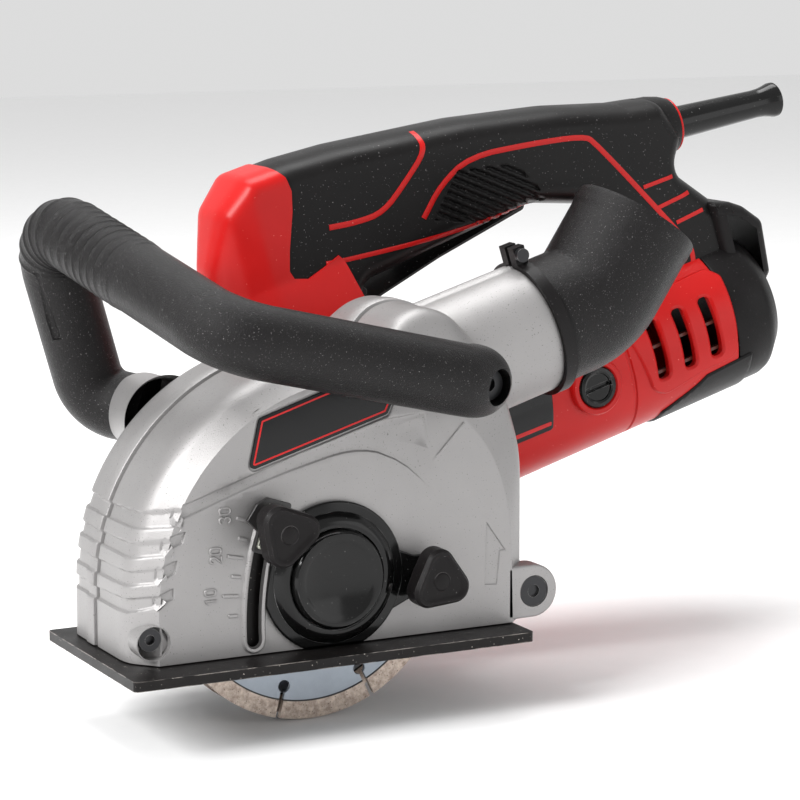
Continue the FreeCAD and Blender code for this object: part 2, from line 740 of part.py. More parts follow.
def brush_gear(part):
    """One piece of the brush gear, repeated on the near and far side of the commutator."""
    pieces = []
    for side in (-1, 1):
        def p(distance):
            return at(brush_u, motor_y + side * distance, 0)

        def square(half, d0, d1):
            y0, y1 = sorted((motor_y + side * d0, motor_y + side * d1))
            return box(brush_u - half, brush_u + half, y0, y1, -half, half)

        if part == "holder":
            piece = join([cyl(6.5, p(15), p(33)), cyl(9.5, p(33), p(34))]).cut(square(3.2, 14, 35))
        elif part == "brush":
            piece = square(3.15, 13.2, 23.0)
        elif part == "spring":
            piece = coil(2.4, 0.4, 2.1, 4.5, p(23.6), p(1) - p(0))
        else:
            piece = join([cyl(9.4, p(34.1), p(39.8)), cyl(5.5, p(34.1), p(34.2))])
            piece = piece.cut(box(brush_u - 7, brush_u + 7, *sorted((motor_y + side * 37.6, motor_y + side * 41)),
                                  -1.1, 1.1))
        pieces.append(piece)
    return tilt(Part.makeCompound(pieces))


# ---- main handle ----
handle_outline = [(24, 20), (27, 104), (38, 128), (53, 139.5), (75, 139.5), (100, 137.5), (160, 129),
                  (206, 119), (240, 109), (258, 105.5), (266, 86), (257, 72), (277, 48), (277, 20)]
handle_corners = [8, 20, 12, 8, 30, 60, 90, 90, 20, 8, 8, 8, 8, 8]
window_outline = [(86, 39.6), (89, 68), (96, 76.5), (183, 81.5), (214, 70), (226, 39.6)]
window_corners = [4, 6, 6, 25, 14, 6]


def handle_block(inset):
    outer = Part.Face(rounded_loop(handle_outline, handle_corners, grip_y0 + inset))
    window = Part.Face(rounded_loop(window_outline, window_corners, grip_y0 + inset))
    if inset:
        outer = outer.makeOffset2D(-inset)
        window = window.makeOffset2D(inset)
    depth = grip_y1 - grip_y0 - 2 * inset
    solid = outer.extrude(at(0, depth, 0))
    if not inset:
        for y in (grip_y0, grip_y1):
            solid = bevel_rim(solid, y, 6.0)
    return solid.cut(window.extrude(at(0, depth, 0)))


def sleeve_axis(distance):
    a = math.radians(-7.1)
    return at(265.5 + distance * math.cos(a), motor_y, 89.5 + distance * math.sin(a))


def handle_shell():
    shell = handle_block(0.0).cut(handle_block(3.2))
    cuts = [
        cyl(housing_r + 0.1, on_motor(0), on_motor(300)),
        cyl(case_r + 2.1, on_motor(0), on_motor(housing_u0)),
        cyl(case_r + 0.3, at(0, 50, 0), at(0, 117, 0)),
        box(86.5, 185, motor_y - 9.2, motor_y + 9.2, 60, 91),
        cyl(7.5, sleeve_axis(-14), sleeve_axis(8)),
        cyl(2.0 + run, at(trigger_pin_u, motor_y - 13, trigger_pin_v), at(trigger_pin_u, motor_y + 13, trigger_pin_v)),
    ]
    return minus(shell, cuts)


def nose_region():
    return slab([(0, 20), (87.5, 20), (90.5, 66), (84, 91), (60, 94), (70.5, 150), (0, 150)], 60, 130)


def handle_parts():
    shell = handle_shell()
    nose = shell.common(nose_region())
    rest = shell.cut(nose_region())
    near = rest.common(box(0, 300, 60, motor_y - half_gap, 0, 160))
    far = rest.common(box(0, 300, motor_y + half_gap, 130, 0, 160))
    return tilt(nose), tilt(near), tilt(far)


def handle_screws():
    screws = []
    for u, v in ((84, 118), (194, 108), (240, 92), (246, 56)):
        screw = join([
            cyl(2.0, at(u, motor_y + 1, v), at(u, grip_y1 - 6, v)),
            cyl(3.6, at(u, grip_y1 - 6, v), at(u, grip_y1 - 3.2, v)),
        ])
        screws.append(screw)
    return tilt(Part.makeCompound(screws))


def trigger():
    """Long paddle under the grip, hinged on a pin at its front end."""
    outline = [(88.6, 77.4), (88.6, 70), (96, 66.3), (134, 73.6), (181, 80.0), (181, 87), (96, 80.5)]
    body = rounded_slab(outline, [3, 3, 2, 10, 2.5, 2.5, 6], motor_y - 8.6, motor_y + 8.6)
    hollow = slab([(101, 74), (134, 78.5), (176, 84), (176, 90), (101, 84)], motor_y - 6.2, motor_y + 6.2)
    bore = cyl(2.0 + run, at(trigger_pin_u, 80, trigger_pin_v), at(trigger_pin_u, 115, trigger_pin_v))
    return tilt(minus(body, [hollow, bore]))


def trigger_pin():
    return tilt(cyl(2.0, at(trigger_pin_u, motor_y - 12, trigger_pin_v), at(trigger_pin_u, motor_y + 12, trigger_pin_v)))


def trigger_spring():
    return tilt(coil(3.6, 0.5, 2.6, 6, at(160, motor_y, 83.5), Z))


def switch_module():
    body = box(104, 150, motor_y - 10, motor_y + 10, 100, 122)
    rail = box(152, 168, motor_y - 8, motor_y + 8, 99.6, 104)
    return tilt(join([body, rail, box(149, 153, motor_y - 8, motor_y + 8, 100, 104)]))


def cable_sleeve():
    """Bend relief: a tapered rubber sleeve with a flared open end and a bore for the cord."""
    a, b, c, d = sleeve_axis(-14), sleeve_axis(50), sleeve_axis(56), sleeve_axis(60)
    root = cyl(7.4, a, sleeve_axis(6))
    taper = Part.makeCone(7.4, 6.5, (b - sleeve_axis(6)).Length, sleeve_axis(6), b - a)
    flare = Part.makeCone(6.5, 8.0, (c - b).Length, b, b - a)
    lip = cyl(8.0, c, d)
    collar = cyl(10.0, sleeve_axis(-16), sleeve_axis(-13))
    return tilt(join([root, taper, flare, lip, collar]).cut(cyl(4.0, sleeve_axis(-17), sleeve_axis(61))))


def cord_clamp():
    bridge = box(226, 240, motor_y - 11, motor_y + 11, 84, 87)
    holes = [cyl(1.8, at(233, motor_y + s * 8, 83), at(233, motor_y + s * 8, 95)) for s in (-1, 1)]
    return tilt(minus(bridge, holes))


# ---- dust port ----
def elbow_clamp_ring():
    band = ring(duct_r + 2.2, duct_r, at(131.8, duct_y, duct_v), at(137.2, duct_y, duct_v))
    lugs = box(131.8, 137.2, duct_y - 6, duct_y + 6, duct_v + duct_r + 0.5, duct_v + duct_r + 9)
    gap = box(131, 138, duct_y - 1.2, duct_y + 1.2, duct_v + 20, duct_v + 45)
    hole = cyl(1.6, at(134.5, duct_y - 7, duct_v + duct_r + 5.5), at(134.5, duct_y + 7, duct_v + duct_r + 5.5))
    ring_part = join([band, lugs.cut(cyl(duct_r, at(130, duct_y, duct_v), at(139, duct_y, duct_v)))])
    return tilt(minus(ring_part, [gap, hole]))


def clamp_ring_screw():
    v = duct_v + duct_r + 5.5
    return tilt(join([
        cyl(1.6, at(134.5, duct_y - 6, v), at(134.5, duct_y + 6.5, v)),
        cyl(2.9, at(134.5, duct_y - 8.4, v), at(134.5, duct_y - 6, v)),
    ]))


def dust_elbow():
    """Swivelling elbow whose neck turns inside the guard's duct."""
    rise = math.radians(elbow_rise)
    bend = at(elbow_bend_u, duct_y, duct_v)
    mouth = bend + at(elbow_reach * math.cos(rise), 0, elbow_reach * math.sin(rise))
    past = mouth + (mouth - bend) * 0.1
    start = at(138.0, duct_y, duct_v)
    outer = pipe([start, bend, mouth], [30.0], duct_r)
    neck = cyl(duct_r - 3.2, at(112, duct_y, duct_v), at(139, duct_y, duct_v))
    inner_neck = cyl(21.0, at(110, duct_y, duct_v), at(150, duct_y, duct_v))
    inner = pipe([at(139.5, duct_y, duct_v), bend, mouth - (mouth - bend) * 0.45], [30.0], 21.0)
    socket = cyl(elbow_bore_r, mouth - (mouth - bend) * 0.47, past)
    return tilt(minus(join([outer, neck]), [inner_neck, inner, socket]))


# ---- front bow handle ----
def front_handle():
    path = [
        near_foot,
        at(near_foot.x, -40, 75),
        at(-52.2, -40, 101.6),
        at(-78.3, 88, 137),
        at(-55.5, 91, 58.5),
        at(-38, 71.5, 55),
    ]
    bar = pipe(path, [15.5, 22.0, 20.0, 13.0], bow_r)
    cuts = [
        box(-90, 10, 40, far_boss.y + 0.3, 20, 90),
        cyl(4.2, at(near_foot.x, -60, 75), at(near_foot.x, -20, 75)),
        cyl(7.5, at(near_foot.x, -60, 75), at(near_foot.x, -33, 75)),
        cyl(4.2, at(far_boss.x, 74, far_boss.z), at(far_boss.x, 112, far_boss.z)),
        cyl(7.5, at(far_boss.x, 80, far_boss.z), at(far_boss.x, 120, far_boss.z)),
    ]
    return minus(bar, cuts)


def handle_bolts():
    near = join([
        cyl(4.0, at(near_foot.x, -33, 75), at(near_foot.x, -9, 75)),
        cyl(6.5, at(near_foot.x, -39, 75), at(near_foot.x, -33, 75)),
    ]).cut(cyl(3.0, at(near_foot.x, -40, 75), at(near_foot.x, -36, 75)))
    far = join([
        cyl(4.0, at(far_boss.x, 60, far_boss.z), at(far_boss.x, 80, far_boss.z)),
        cyl(6.5, at(far_boss.x, 80, far_boss.z), at(far_boss.x, 86, far_boss.z)),
    ]).cut(cyl(3.0, at(far_boss.x, 83, far_boss.z), at(far_boss.x, 87, far_boss.z)))
    return Part.makeCompound([near, far])


def build():
    shell = guard_shell()
    nose, near_grip, far_grip = handle_parts()
    near_shell = join([guard_near_half(shell)] + scale_marks())
    stud_x, stud_z = polar(stud_angle)
    return {
        "guard_near_half": near_shell,
        "guard_far_half": guard_far_half(shell),
        "guard_screw": guard_screws(),
        "pivot_screws": pivot_screws(),
        "base_plate": base_plate(),
        "near_cheek": cheek(-16.2, -14.2, True),
        "far_cheek": cheek(49.5, 51.5, False),
        "depth_stud": depth_stud(),
        "depth_pointer": depth_pointer(),
        "depth_clamp_plate": depth_clamp_plate(),
        "depth_knob": wing_knob(stud_x, stud_z, -27.7, 40, 9.0, None),
        "hub_cover": hub_cover(),
        "hub_cap": hub_cap(),
        "cover_knob": wing_knob(41, -3.3, -22.7, 5, None, -12.5),
        "spindle_shaft": spindle_shaft(),
        "inner_flange": inner_flange(),
        "outer_disc": diamond_disc(0.0),
        "inner_disc": diamond_disc(disc_gap),
        "disc_spacers": disc_spacers(),
        "clamp_nut": clamp_nut(),
        "crown_gear": crown_gear(),
        "spindle_front_bearing": shielded_bearing(15.0, spindle_r, at(0, 25, 0), at(0, 36, 0)),
        "spindle_rear_bearing": shielded_bearing(9.0, 5.0, at(0, 109.6, 0), at(0, 118, 0)),
        "gear_case": gear_case(),
        "gear_case_cover": gear_case_cover(),
        "gear_case_screws": gear_case_screws(),
        "spindle_lock_button": spindle_lock_pin(),
        "spindle_lock_spring": spindle_lock_spring(),
        "pinion": pinion(),
        "armature_shaft": armature_shaft(),
        "armature_core": armature_core(),
        "armature_windings": armature_windings(),
        "commutator": commutator(),
        "cooling_fan": cooling_fan(),
        "armature_front_bearing": tilt(shielded_bearing(13.0, 6.0, on_motor(46.2), on_motor(57))),
        "armature_rear_bearing": tilt(shielded_bearing(9.5, 5.0, on_motor(198), on_motor(206))),
        "rear_bearing_sleeve": tilt(ring(11.0, 9.5, on_motor(197), on_motor(207))),
        "stator_core": stator_core(),
        "field_windings": field_windings(),
        "brush_holders": brush_gear("holder"),
        "carbon_brushes": brush_gear("brush"),
        "brush_springs": brush_gear("spring"),
        "brush_caps": brush_gear("cap"),
        "motor_housing": motor_housing(),
        "motor_rear_cap": motor_rear_cap(),
        "nose_cover": nose,
        "grip_near_half": near_grip,
        "grip_far_half": far_grip,
        "grip_screws": handle_screws(),
        "trigger": trigger(),
        "trigger_pin": trigger_pin(),
        "trigger_spring": trigger_spring(),
        "switch_module": switch_module(),
        "cord_clamp": cord_clamp(),
        "cable_sleeve": cable_sleeve(),
        "elbow_clamp_ring": elbow_clamp_ring(),
        "clamp_ring_screw": clamp_ring_screw(),
        "dust_elbow": dust_elbow(),
        "front_handle": front_handle(),
        "handle_bolts": handle_bolts(),
    }


os.makedirs("parts", exist_ok=True)
for name, shape in build().items():
    shape.exportStep("parts/%s.step" % name)
    solids = len(shape.Solids)
    print("%-24s %d solid(s) %10.1f mm3 valid %s" % (name, solids, shape.Volume, shape.isValid()))
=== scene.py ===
import json
import math

import bmesh
import bpy
import numpy as np
from mathutils import Matrix, Vector, geometry
from mathutils.bvhtree import BVHTree


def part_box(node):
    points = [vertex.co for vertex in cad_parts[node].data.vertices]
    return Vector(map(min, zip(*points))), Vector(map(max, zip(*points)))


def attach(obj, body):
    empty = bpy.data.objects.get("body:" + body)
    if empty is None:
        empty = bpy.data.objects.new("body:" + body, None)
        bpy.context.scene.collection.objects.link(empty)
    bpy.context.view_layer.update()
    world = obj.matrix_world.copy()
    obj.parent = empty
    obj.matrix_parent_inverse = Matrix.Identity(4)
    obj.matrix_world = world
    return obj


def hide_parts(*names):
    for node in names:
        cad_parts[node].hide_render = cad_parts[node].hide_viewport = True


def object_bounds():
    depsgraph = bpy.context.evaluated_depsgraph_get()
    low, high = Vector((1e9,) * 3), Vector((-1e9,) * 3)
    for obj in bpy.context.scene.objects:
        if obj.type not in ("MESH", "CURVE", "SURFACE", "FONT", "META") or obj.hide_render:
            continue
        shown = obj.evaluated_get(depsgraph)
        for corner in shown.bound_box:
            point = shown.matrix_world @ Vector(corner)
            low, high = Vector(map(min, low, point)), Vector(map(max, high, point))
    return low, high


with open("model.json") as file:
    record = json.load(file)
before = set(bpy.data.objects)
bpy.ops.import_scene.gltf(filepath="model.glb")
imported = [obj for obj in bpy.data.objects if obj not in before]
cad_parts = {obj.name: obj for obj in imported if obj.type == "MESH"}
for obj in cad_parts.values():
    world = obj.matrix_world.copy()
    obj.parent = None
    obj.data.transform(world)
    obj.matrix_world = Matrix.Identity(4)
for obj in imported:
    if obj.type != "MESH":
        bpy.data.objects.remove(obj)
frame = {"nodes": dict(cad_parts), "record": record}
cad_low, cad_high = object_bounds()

MM = 0.001
JOINTS = {joint["name"]: joint for joint in frame["record"]["behaviour"]["joints"]}


def joint_place(name):
    """A joint's (x, y, z) in the row frame, in mm."""
    return [round(c / MM, 4) for c in JOINTS[name]["pos_m"]]


def axis_tilt(name):
    """How far a joint's axis rises from level towards +X, in degrees."""
    x, _, z = JOINTS[name]["axis"]
    return round(math.degrees(math.atan2(z, x)), 3)


TILT = math.radians(axis_tilt("armature_spin"))
COS_T, SIN_T = math.cos(TILT), math.sin(TILT)
MOTOR_Y = joint_place("armature_spin")[1]


def tool_place(name):
    """A joint's (u, y, v) in the tool frame, in mm."""
    x, y, z = joint_place(name)
    return round(x * COS_T + z * SIN_T, 2), round(y, 2), round(z * COS_T - x * SIN_T, 2)


def cad_span(name, axis):
    """Lowest and highest place of a CAD node along one axis, in mm."""
    low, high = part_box(name)
    return round(low[axis] / MM, 3), round(high[axis] / MM, 3)


def tool(u, y, v):
    """A point of the tool frame, in row-frame millimetres."""
    return (u * COS_T - v * SIN_T, y, u * SIN_T + v * COS_T)


# ---------------------------------------------------------------- materials
def node(tree, kind, **values):
    """Adds a shader node: _name sets a property and any other keyword an input."""
    made = tree.nodes.new("ShaderNode" + kind)
    for key, value in values.items():
        if key.startswith("_"):
            setattr(made, key[1:], value)
        else:
            made.inputs[key.replace("__", " ")].default_value = value
    return made


def ramp(tree, source, low, high, low_value=0.0, high_value=1.0):
    """Maps a value socket from low..high, clamped."""
    made = node(tree, "MapRange", _clamp=True)
    for i, value in enumerate((low, high, low_value, high_value)):
        made.inputs[i + 1].default_value = value
    tree.links.new(source, made.inputs[0])
    return made.outputs[0]


def mix(tree, factor, a, b):
    """Mixes two colours; each is a tuple or a socket."""
    made = node(tree, "Mix", _data_type="RGBA")
    tree.links.new(factor, made.inputs[0])
    for socket, value in ((made.inputs[6], a), (made.inputs[7], b)):
        if isinstance(value, tuple):
            socket.default_value = (*value, 1.0)
        else:
            tree.links.new(value, socket)
    return made.outputs[2]


def finish_material(name, base, rough, metallic=0.0, mottle=(45.0, 0.10), grain=(1800.0, 0.25, 0.00012),
                    specks=None, wear=None, coat=0.0, rough_spread=0.07, scratches=0.0, radial=None,
                    specular=0.5):
    """A procedural finish: mottled colour, dust specks, worn edges, uneven gloss and fine grain."""
    made = bpy.data.materials.new(name)
    made.use_nodes = True
    tree = made.node_tree
    links = tree.links
    shader = tree.nodes["Principled BSDF"]
    shader.inputs["Metallic"].default_value = metallic
    shader.inputs["Coat Weight"].default_value = coat
    shader.inputs["Coat Roughness"].default_value = 0.12
    shader.inputs["Specular IOR Level"].default_value = specular
    where = node(tree, "TexCoord").outputs["Object"]
    cloud = node(tree, "TexNoise", Scale=mottle[0], Detail=5.0, Roughness=0.6)
    links.new(where, cloud.inputs["Vector"])
    low = tuple(c * (1 - mottle[1]) for c in base)
    high = tuple(min(1.0, c * (1 + mottle[1]) + 0.002) for c in base)
    colour = mix(tree, ramp(tree, cloud.outputs["Fac"], 0.3, 0.7), low, high)
    if radial:
        colour = radial(tree, where, colour)
    fine = node(tree, "TexNoise", Scale=grain[0], Detail=3.0, Roughness=0.65)
    links.new(where, fine.inputs["Vector"])
    if specks:
        scale, threshold, tint = specks
        dots = node(tree, "TexNoise", Scale=scale, Detail=1.0)
        links.new(where, dots.inputs["Vector"])
        colour = mix(tree, ramp(tree, dots.outputs["Fac"], threshold, threshold + 0.03), colour, tint)
    if wear:
        width, tint, amount = wear
        bevel = node(tree, "Bevel", _samples=6, Radius=width)
        geometry_node = node(tree, "NewGeometry")
        dot = node(tree, "VectorMath", _operation="DOT_PRODUCT")
        links.new(bevel.outputs[0], dot.inputs[0])
        links.new(geometry_node.outputs["Normal"], dot.inputs[1])
        edge = ramp(tree, dot.outputs["Value"], 0.97, 0.80, 0.0, amount)
        patch = node(tree, "TexNoise", Scale=160.0, Detail=4.0)
        links.new(where, patch.inputs["Vector"])
        both = node(tree, "Math", _operation="MULTIPLY")
        links.new(edge, both.inputs[0])
        links.new(ramp(tree, patch.outputs["Fac"], 0.42, 0.60), both.inputs[1])
        colour = mix(tree, both.outputs[0], colour, tint)
    links.new(colour, shader.inputs["Base Color"])
    gloss = ramp(tree, cloud.outputs["Fac"], 0.25, 0.75, max(0.03, rough - rough_spread),
                 min(1.0, rough + rough_spread))
    links.new(gloss, shader.inputs["Roughness"])
    height = fine.outputs["Fac"]
    if scratches:
        brushed = node(tree, "TexNoise", Scale=240.0, Detail=6.0)
        stretch = node(tree, "Mapping")
        stretch.inputs["Scale"].default_value = (1.0, 6.0, 14.0)
        links.new(where, stretch.inputs["Vector"])
        links.new(stretch.outputs[0], brushed.inputs["Vector"])
        total = node(tree, "Math", _operation="MULTIPLY_ADD")
        links.new(brushed.outputs["Fac"], total.inputs[0])
        total.inputs[1].default_value = scratches
        links.new(height, total.inputs[2])
        height = total.outputs[0]
    bump = node(tree, "Bump", Strength=grain[1], Distance=grain[2])
    links.new(height, bump.inputs["Height"])
    links.new(bump.outputs[0], shader.inputs["Normal"])
    return made


def disc_rim(tree, where, colour):
    """Sandy, pitted diamond segments outside the disc's steel core, with a dark line between them."""
    split = node(tree, "SeparateXYZ")
    tree.links.new(where, split.inputs[0])
    flat = node(tree, "CombineXYZ")
    tree.links.new(split.outputs["X"], flat.inputs["X"])
    tree.links.new(split.outputs["Z"], flat.inputs["Y"])
    radius = node(tree, "VectorMath", _operation="LENGTH")
    tree.links.new(flat.outputs[0], radius.inputs[0])
    grit = node(tree, "TexNoise", Scale=420.0, Detail=6.0, Roughness=0.7)
    tree.links.new(where, grit.inputs["Vector"])
    pits = node(tree, "TexVoronoi", Scale=700.0, _feature="F1")
    tree.links.new(where, pits.inputs["Vector"])
    sand = mix(tree, ramp(tree, grit.outputs["Fac"], 0.35, 0.68), (0.30, 0.23, 0.19), (0.66, 0.56, 0.48))
    sand = mix(tree, ramp(tree, pits.outputs["Distance"], 0.16, 0.10), sand, (0.05, 0.035, 0.03))
    seam = ramp(tree, radius.outputs["Value"], 0.0546, 0.0548)
    edge = ramp(tree, radius.outputs["Value"], 0.0552, 0.0554)
    colour = mix(tree, seam, colour, (0.03, 0.03, 0.03))
    return mix(tree, edge, colour, sand)


WHITE_DUST = (0.22, 0.21, 0.21)
FINISHES = {
    "cast_shell": dict(base=(0.29, 0.282, 0.28), rough=0.42, metallic=0.5, mottle=(30.0, 0.05),
                       grain=(2300.0, 0.42, 0.00022), specks=(1500.0, 0.70, (0.15, 0.145, 0.145)),
                       rough_spread=0.05),
    "fastener_steel": dict(base=(0.03, 0.03, 0.032), rough=0.34, metallic=0.7, grain=(900.0, 0.2, 0.0001),
                           wear=(0.0004, (0.35, 0.34, 0.33), 0.8)),
    "plate_black": dict(base=(0.007, 0.006, 0.0058), specular=0.2, rough=0.38, metallic=0.2,
                        mottle=(70.0, 0.25),
                        grain=(1100.0, 0.35, 0.00015), specks=(1100.0, 0.755, (0.5, 0.46, 0.42)),
                        wear=(0.0007, (0.42, 0.38, 0.35), 0.9)),
    "pointer_black": dict(base=(0.014, 0.013, 0.013), rough=0.3, grain=(1500.0, 0.2, 0.0001),
                          wear=(0.0004, (0.4, 0.38, 0.36), 0.6)),
    "zinc_plate": dict(base=(0.52, 0.53, 0.46), rough=0.3, metallic=0.9, mottle=(160.0, 0.25),
                       grain=(900.0, 0.2, 0.0001), specks=(900.0, 0.66, (0.16, 0.15, 0.12))),
    "knob_black": dict(base=(0.006, 0.005, 0.0052), specular=0.14, rough=0.42, grain=(2400.0, 0.4, 0.00018),
                       specks=(1500.0, 0.765, WHITE_DUST), wear=(0.0005, (0.20, 0.19, 0.19), 0.7)),
    "gloss_black": dict(base=(0.0025, 0.0025, 0.0025), specular=0.25, rough=0.16, coat=0.05,
                        mottle=(40.0, 0.2),
                        grain=(500.0, 0.05, 0.00005), specks=(1500.0, 0.77, (0.25, 0.25, 0.24)),
                        wear=(0.0004, (0.5, 0.5, 0.5), 0.5)),
    "machined_steel": dict(base=(0.55, 0.55, 0.56), rough=0.28, metallic=1.0, scratches=0.6),
    "disc_steel": dict(base=(0.33, 0.37, 0.42), rough=0.36, metallic=0.55, mottle=(60.0, 0.10),
                       grain=(1300.0, 0.3, 0.00015), scratches=0.4, radial=disc_rim),
    "gear_steel": dict(base=(0.42, 0.42, 0.43), rough=0.34, metallic=1.0, scratches=0.3),
    "bearing_steel": dict(base=(0.6, 0.6, 0.61), rough=0.2, metallic=1.0, scratches=0.2),
    "case_alloy": dict(base=(0.44, 0.43, 0.425), rough=0.5, metallic=0.45, grain=(1500.0, 0.5, 0.0003)),
    "spring_steel": dict(base=(0.5, 0.5, 0.51), rough=0.25, metallic=1.0),
    "lamination_steel": dict(base=(0.25, 0.25, 0.27), rough=0.4, metallic=0.9, scratches=0.8),
    "copper_winding": dict(base=(0.62, 0.24, 0.09), rough=0.35, metallic=0.9, scratches=0.8),
    "fan_plastic": dict(base=(0.05, 0.05, 0.055), rough=0.5),
    "red_plastic": dict(base=(0.46, 0.0042, 0.0036), specular=0.25, rough=0.34, mottle=(35.0, 0.05),
                        grain=(2600.0, 0.16, 0.0001),
                        specks=(1300.0, 0.78, (0.85, 0.35, 0.30)), rough_spread=0.05),
    "black_plastic": dict(base=(0.006, 0.0052, 0.0054), specular=0.15, rough=0.38, mottle=(30.0, 0.18),
                          grain=(2100.0, 0.45, 0.0002), specks=(1700.0, 0.755, WHITE_DUST)),
    "brush_brass": dict(base=(0.6, 0.45, 0.16), rough=0.3, metallic=1.0),
    "brush_carbon": dict(base=(0.03, 0.03, 0.03), rough=0.7),
    "rubber_black": dict(base=(0.0055, 0.005, 0.005), specular=0.15, rough=0.38, mottle=(26.0, 0.25),
                         grain=(1500.0, 0.30, 0.00012), specks=(1500.0, 0.745, WHITE_DUST),
                         rough_spread=0.10),
}
MATERIALS = {name: finish_material(name, **look) for name, look in FINISHES.items()}
MATERIALS["handle_sparkle"] = finish_material(
    "handle_sparkle", base=(0.006, 0.0053, 0.0055), specular=0.2, rough=0.33, mottle=(40.0, 0.12),
    grain=(1700.0, 0.85, 0.0004), specks=(2100.0, 0.72, WHITE_DUST))
MATERIALS["label_black"] = finish_material(
    "label_black", base=(0.003, 0.003, 0.0035), specular=0.25, rough=0.24, grain=(700.0, 0.06, 0.00004),
    coat=0.05)
MATERIALS["label_red"] = finish_material(
    "label_red", base=(0.55, 0.008, 0.009), specular=0.3, rough=0.3, grain=(900.0, 0.06, 0.00004))
# Painted shade: the slats deep in the vents get a dark brown in place of the housing's red, standing in for
# the shade inside the vents.
MATERIALS["vent_painted_shade"] = finish_material(
    "vent_painted_shade", base=(0.10, 0.018, 0.010), rough=0.35, grain=(900.0, 0.2, 0.0001))


# ---------------------------------------------------------------- mesh helpers
def piece(name, mesh_parts, body, slot, stands_for=(), materials=None, sharp=32.0):
    """Makes one object of (points in mm, faces, material index) parts and hangs it on its body."""
    points, faces, indices = [], [], []
    for part in mesh_parts:
        base = len(points)
        points.extend(part[0])
        faces.extend([[base + i for i in face] for face in part[1]])
        indices.extend([part[2] if len(part) > 2 else 0] * len(part[1]))
    mesh = bpy.data.meshes.new(name)
    mesh.from_pydata([Vector(p) * MM for p in points], [], faces)
    mesh.polygons.foreach_set("material_index", indices)
    return place(mesh, name, body, slot, stands_for, materials, sharp)


def place(mesh, name, body, slot, stands_for=(), materials=None, sharp=32.0):
    for material in materials or [MATERIALS[slot]]:
        mesh.materials.append(material)
    work = bmesh.new()
    work.from_mesh(mesh)
    bmesh.ops.remove_doubles(work, verts=work.verts, dist=0.000004)
    bmesh.ops.recalc_face_normals(work, faces=work.faces)
    work.to_mesh(mesh)
    work.free()
    mesh.shade_smooth()
    mesh.set_sharp_from_angle(angle=math.radians(sharp))
    made = bpy.data.objects.new(name, mesh)
    bpy.context.collection.objects.link(made)
    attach(made, body)
    if stands_for:
        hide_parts(*stands_for)
    return made


def applied(made):
    """Bakes an object's modifiers into its mesh."""
    bpy.context.view_layer.update()
    graph = bpy.context.evaluated_depsgraph_get()
    mesh = bpy.data.meshes.new_from_object(made.evaluated_get(graph))
    made.modifiers.clear()
    made.data = mesh
    return made


def loose(parts):
    """A bare helper object from mesh parts, for cutting or thickening."""
    points, faces = [], []
    for part in parts:
        base = len(points)
        points.extend(part[0])
        faces.extend([[base + i for i in face] for face in part[1]])
    mesh = bpy.data.meshes.new("loose")
    mesh.from_pydata([Vector(p) * MM for p in points], [], faces)
    work = bmesh.new()
    work.from_mesh(mesh)
    bmesh.ops.remove_doubles(work, verts=work.verts, dist=0.000004)
    bmesh.ops.recalc_face_normals(work, faces=work.faces)
    work.to_mesh(mesh)
    work.free()
    made = bpy.data.objects.new("loose", mesh)
    bpy.context.collection.objects.link(made)
    return made


def cut(target, parts, operation="DIFFERENCE"):
    """Exact boolean of target with closed mesh parts."""
    cutter = loose(parts)
    change = target.modifiers.new("cut", "BOOLEAN")
    change.operation = operation
    change.solver = "EXACT"
    change.object = cutter
    applied(target)
    bpy.data.objects.remove(cutter)
    return target


def reshaded(made, sharp):
    """Smooth shading again after a cut, with edges kept sharp above the given angle in degrees."""
    made.data.shade_smooth()
    made.data.set_sharp_from_angle(angle=math.radians(sharp))
    return made


def parts_of(made):
    """The mesh of a helper object as a part in mm; the object is removed."""
    mesh = made.data
    points = [tuple(v.co / MM) for v in mesh.vertices]
    faces = [list(p.vertices) for p in mesh.polygons]
    bpy.data.objects.remove(made)
    return points, faces


def arc(cx, cz, r, a0, a1, count):
    angles = np.radians(np.linspace(a0, a1, count))
    return [(cx + r * math.cos(a), cz + r * math.sin(a)) for a in angles]


def rounded(points, radii, count=7):
    """A closed loop of lines with an arc at each corner."""
    loop = []
    total = len(points)
    for i in range(total):
        p = Vector(points[i])
        before = (Vector(points[i - 1]) - p)
        after = (Vector(points[(i + 1) % total]) - p)
        r = radii[i] if isinstance(radii, (list, tuple)) else radii
        room = min(before.length, after.length) * 0.49
        before.normalize()
        after.normalize()
        half = before.angle(after) / 2
        reach = min(r / math.tan(half), room)
        r = reach * math.tan(half)
        middle = (before + after).normalized()
        centre = p + middle * (r / math.sin(half))
        start = p + before * reach - centre
        end = p + after * reach - centre
        sweep = start.angle_signed(end) if start.length and end.length else 0.0
        for k in range(count):
            a = -sweep * k / (count - 1)
            c, s = math.cos(a), math.sin(a)
            loop.append((centre.x + start.x * c - start.y * s, centre.y + start.x * s + start.y * c))
    return loop


def offset_loop(loop, distance):
    """Moves a closed loop outward (positive) along its corner normals."""
    points = np.array(loop, float)
    area = np.sum(points[:, 0] * np.roll(points[:, 1], -1) - np.roll(points[:, 0], -1) * points[:, 1])
    ahead = np.roll(points, -1, 0) - points
    ahead /= np.maximum(np.linalg.norm(ahead, axis=1), 1e-9)[:, None]
    behind = np.roll(ahead, 1, 0)
    along = ahead + behind
    along /= np.maximum(np.linalg.norm(along, axis=1), 1e-9)[:, None]
    normal = np.stack([along[:, 1], -along[:, 0]], 1) * (1 if area > 0 else -1)
    bend = np.clip(np.sum(ahead * along, 1), 0.5, 1.0)
    return [tuple(p) for p in points + normal * (distance / bend)[:, None]]


def rim_steps(r, count=4):
    """(inset, depth) pairs round a quarter circle, from the side wall to the face."""
    return [(r * (1 - math.cos(a)), r * (1 - math.sin(a)))
            for a in (math.pi / 2 * k / count for k in range(count + 1))]


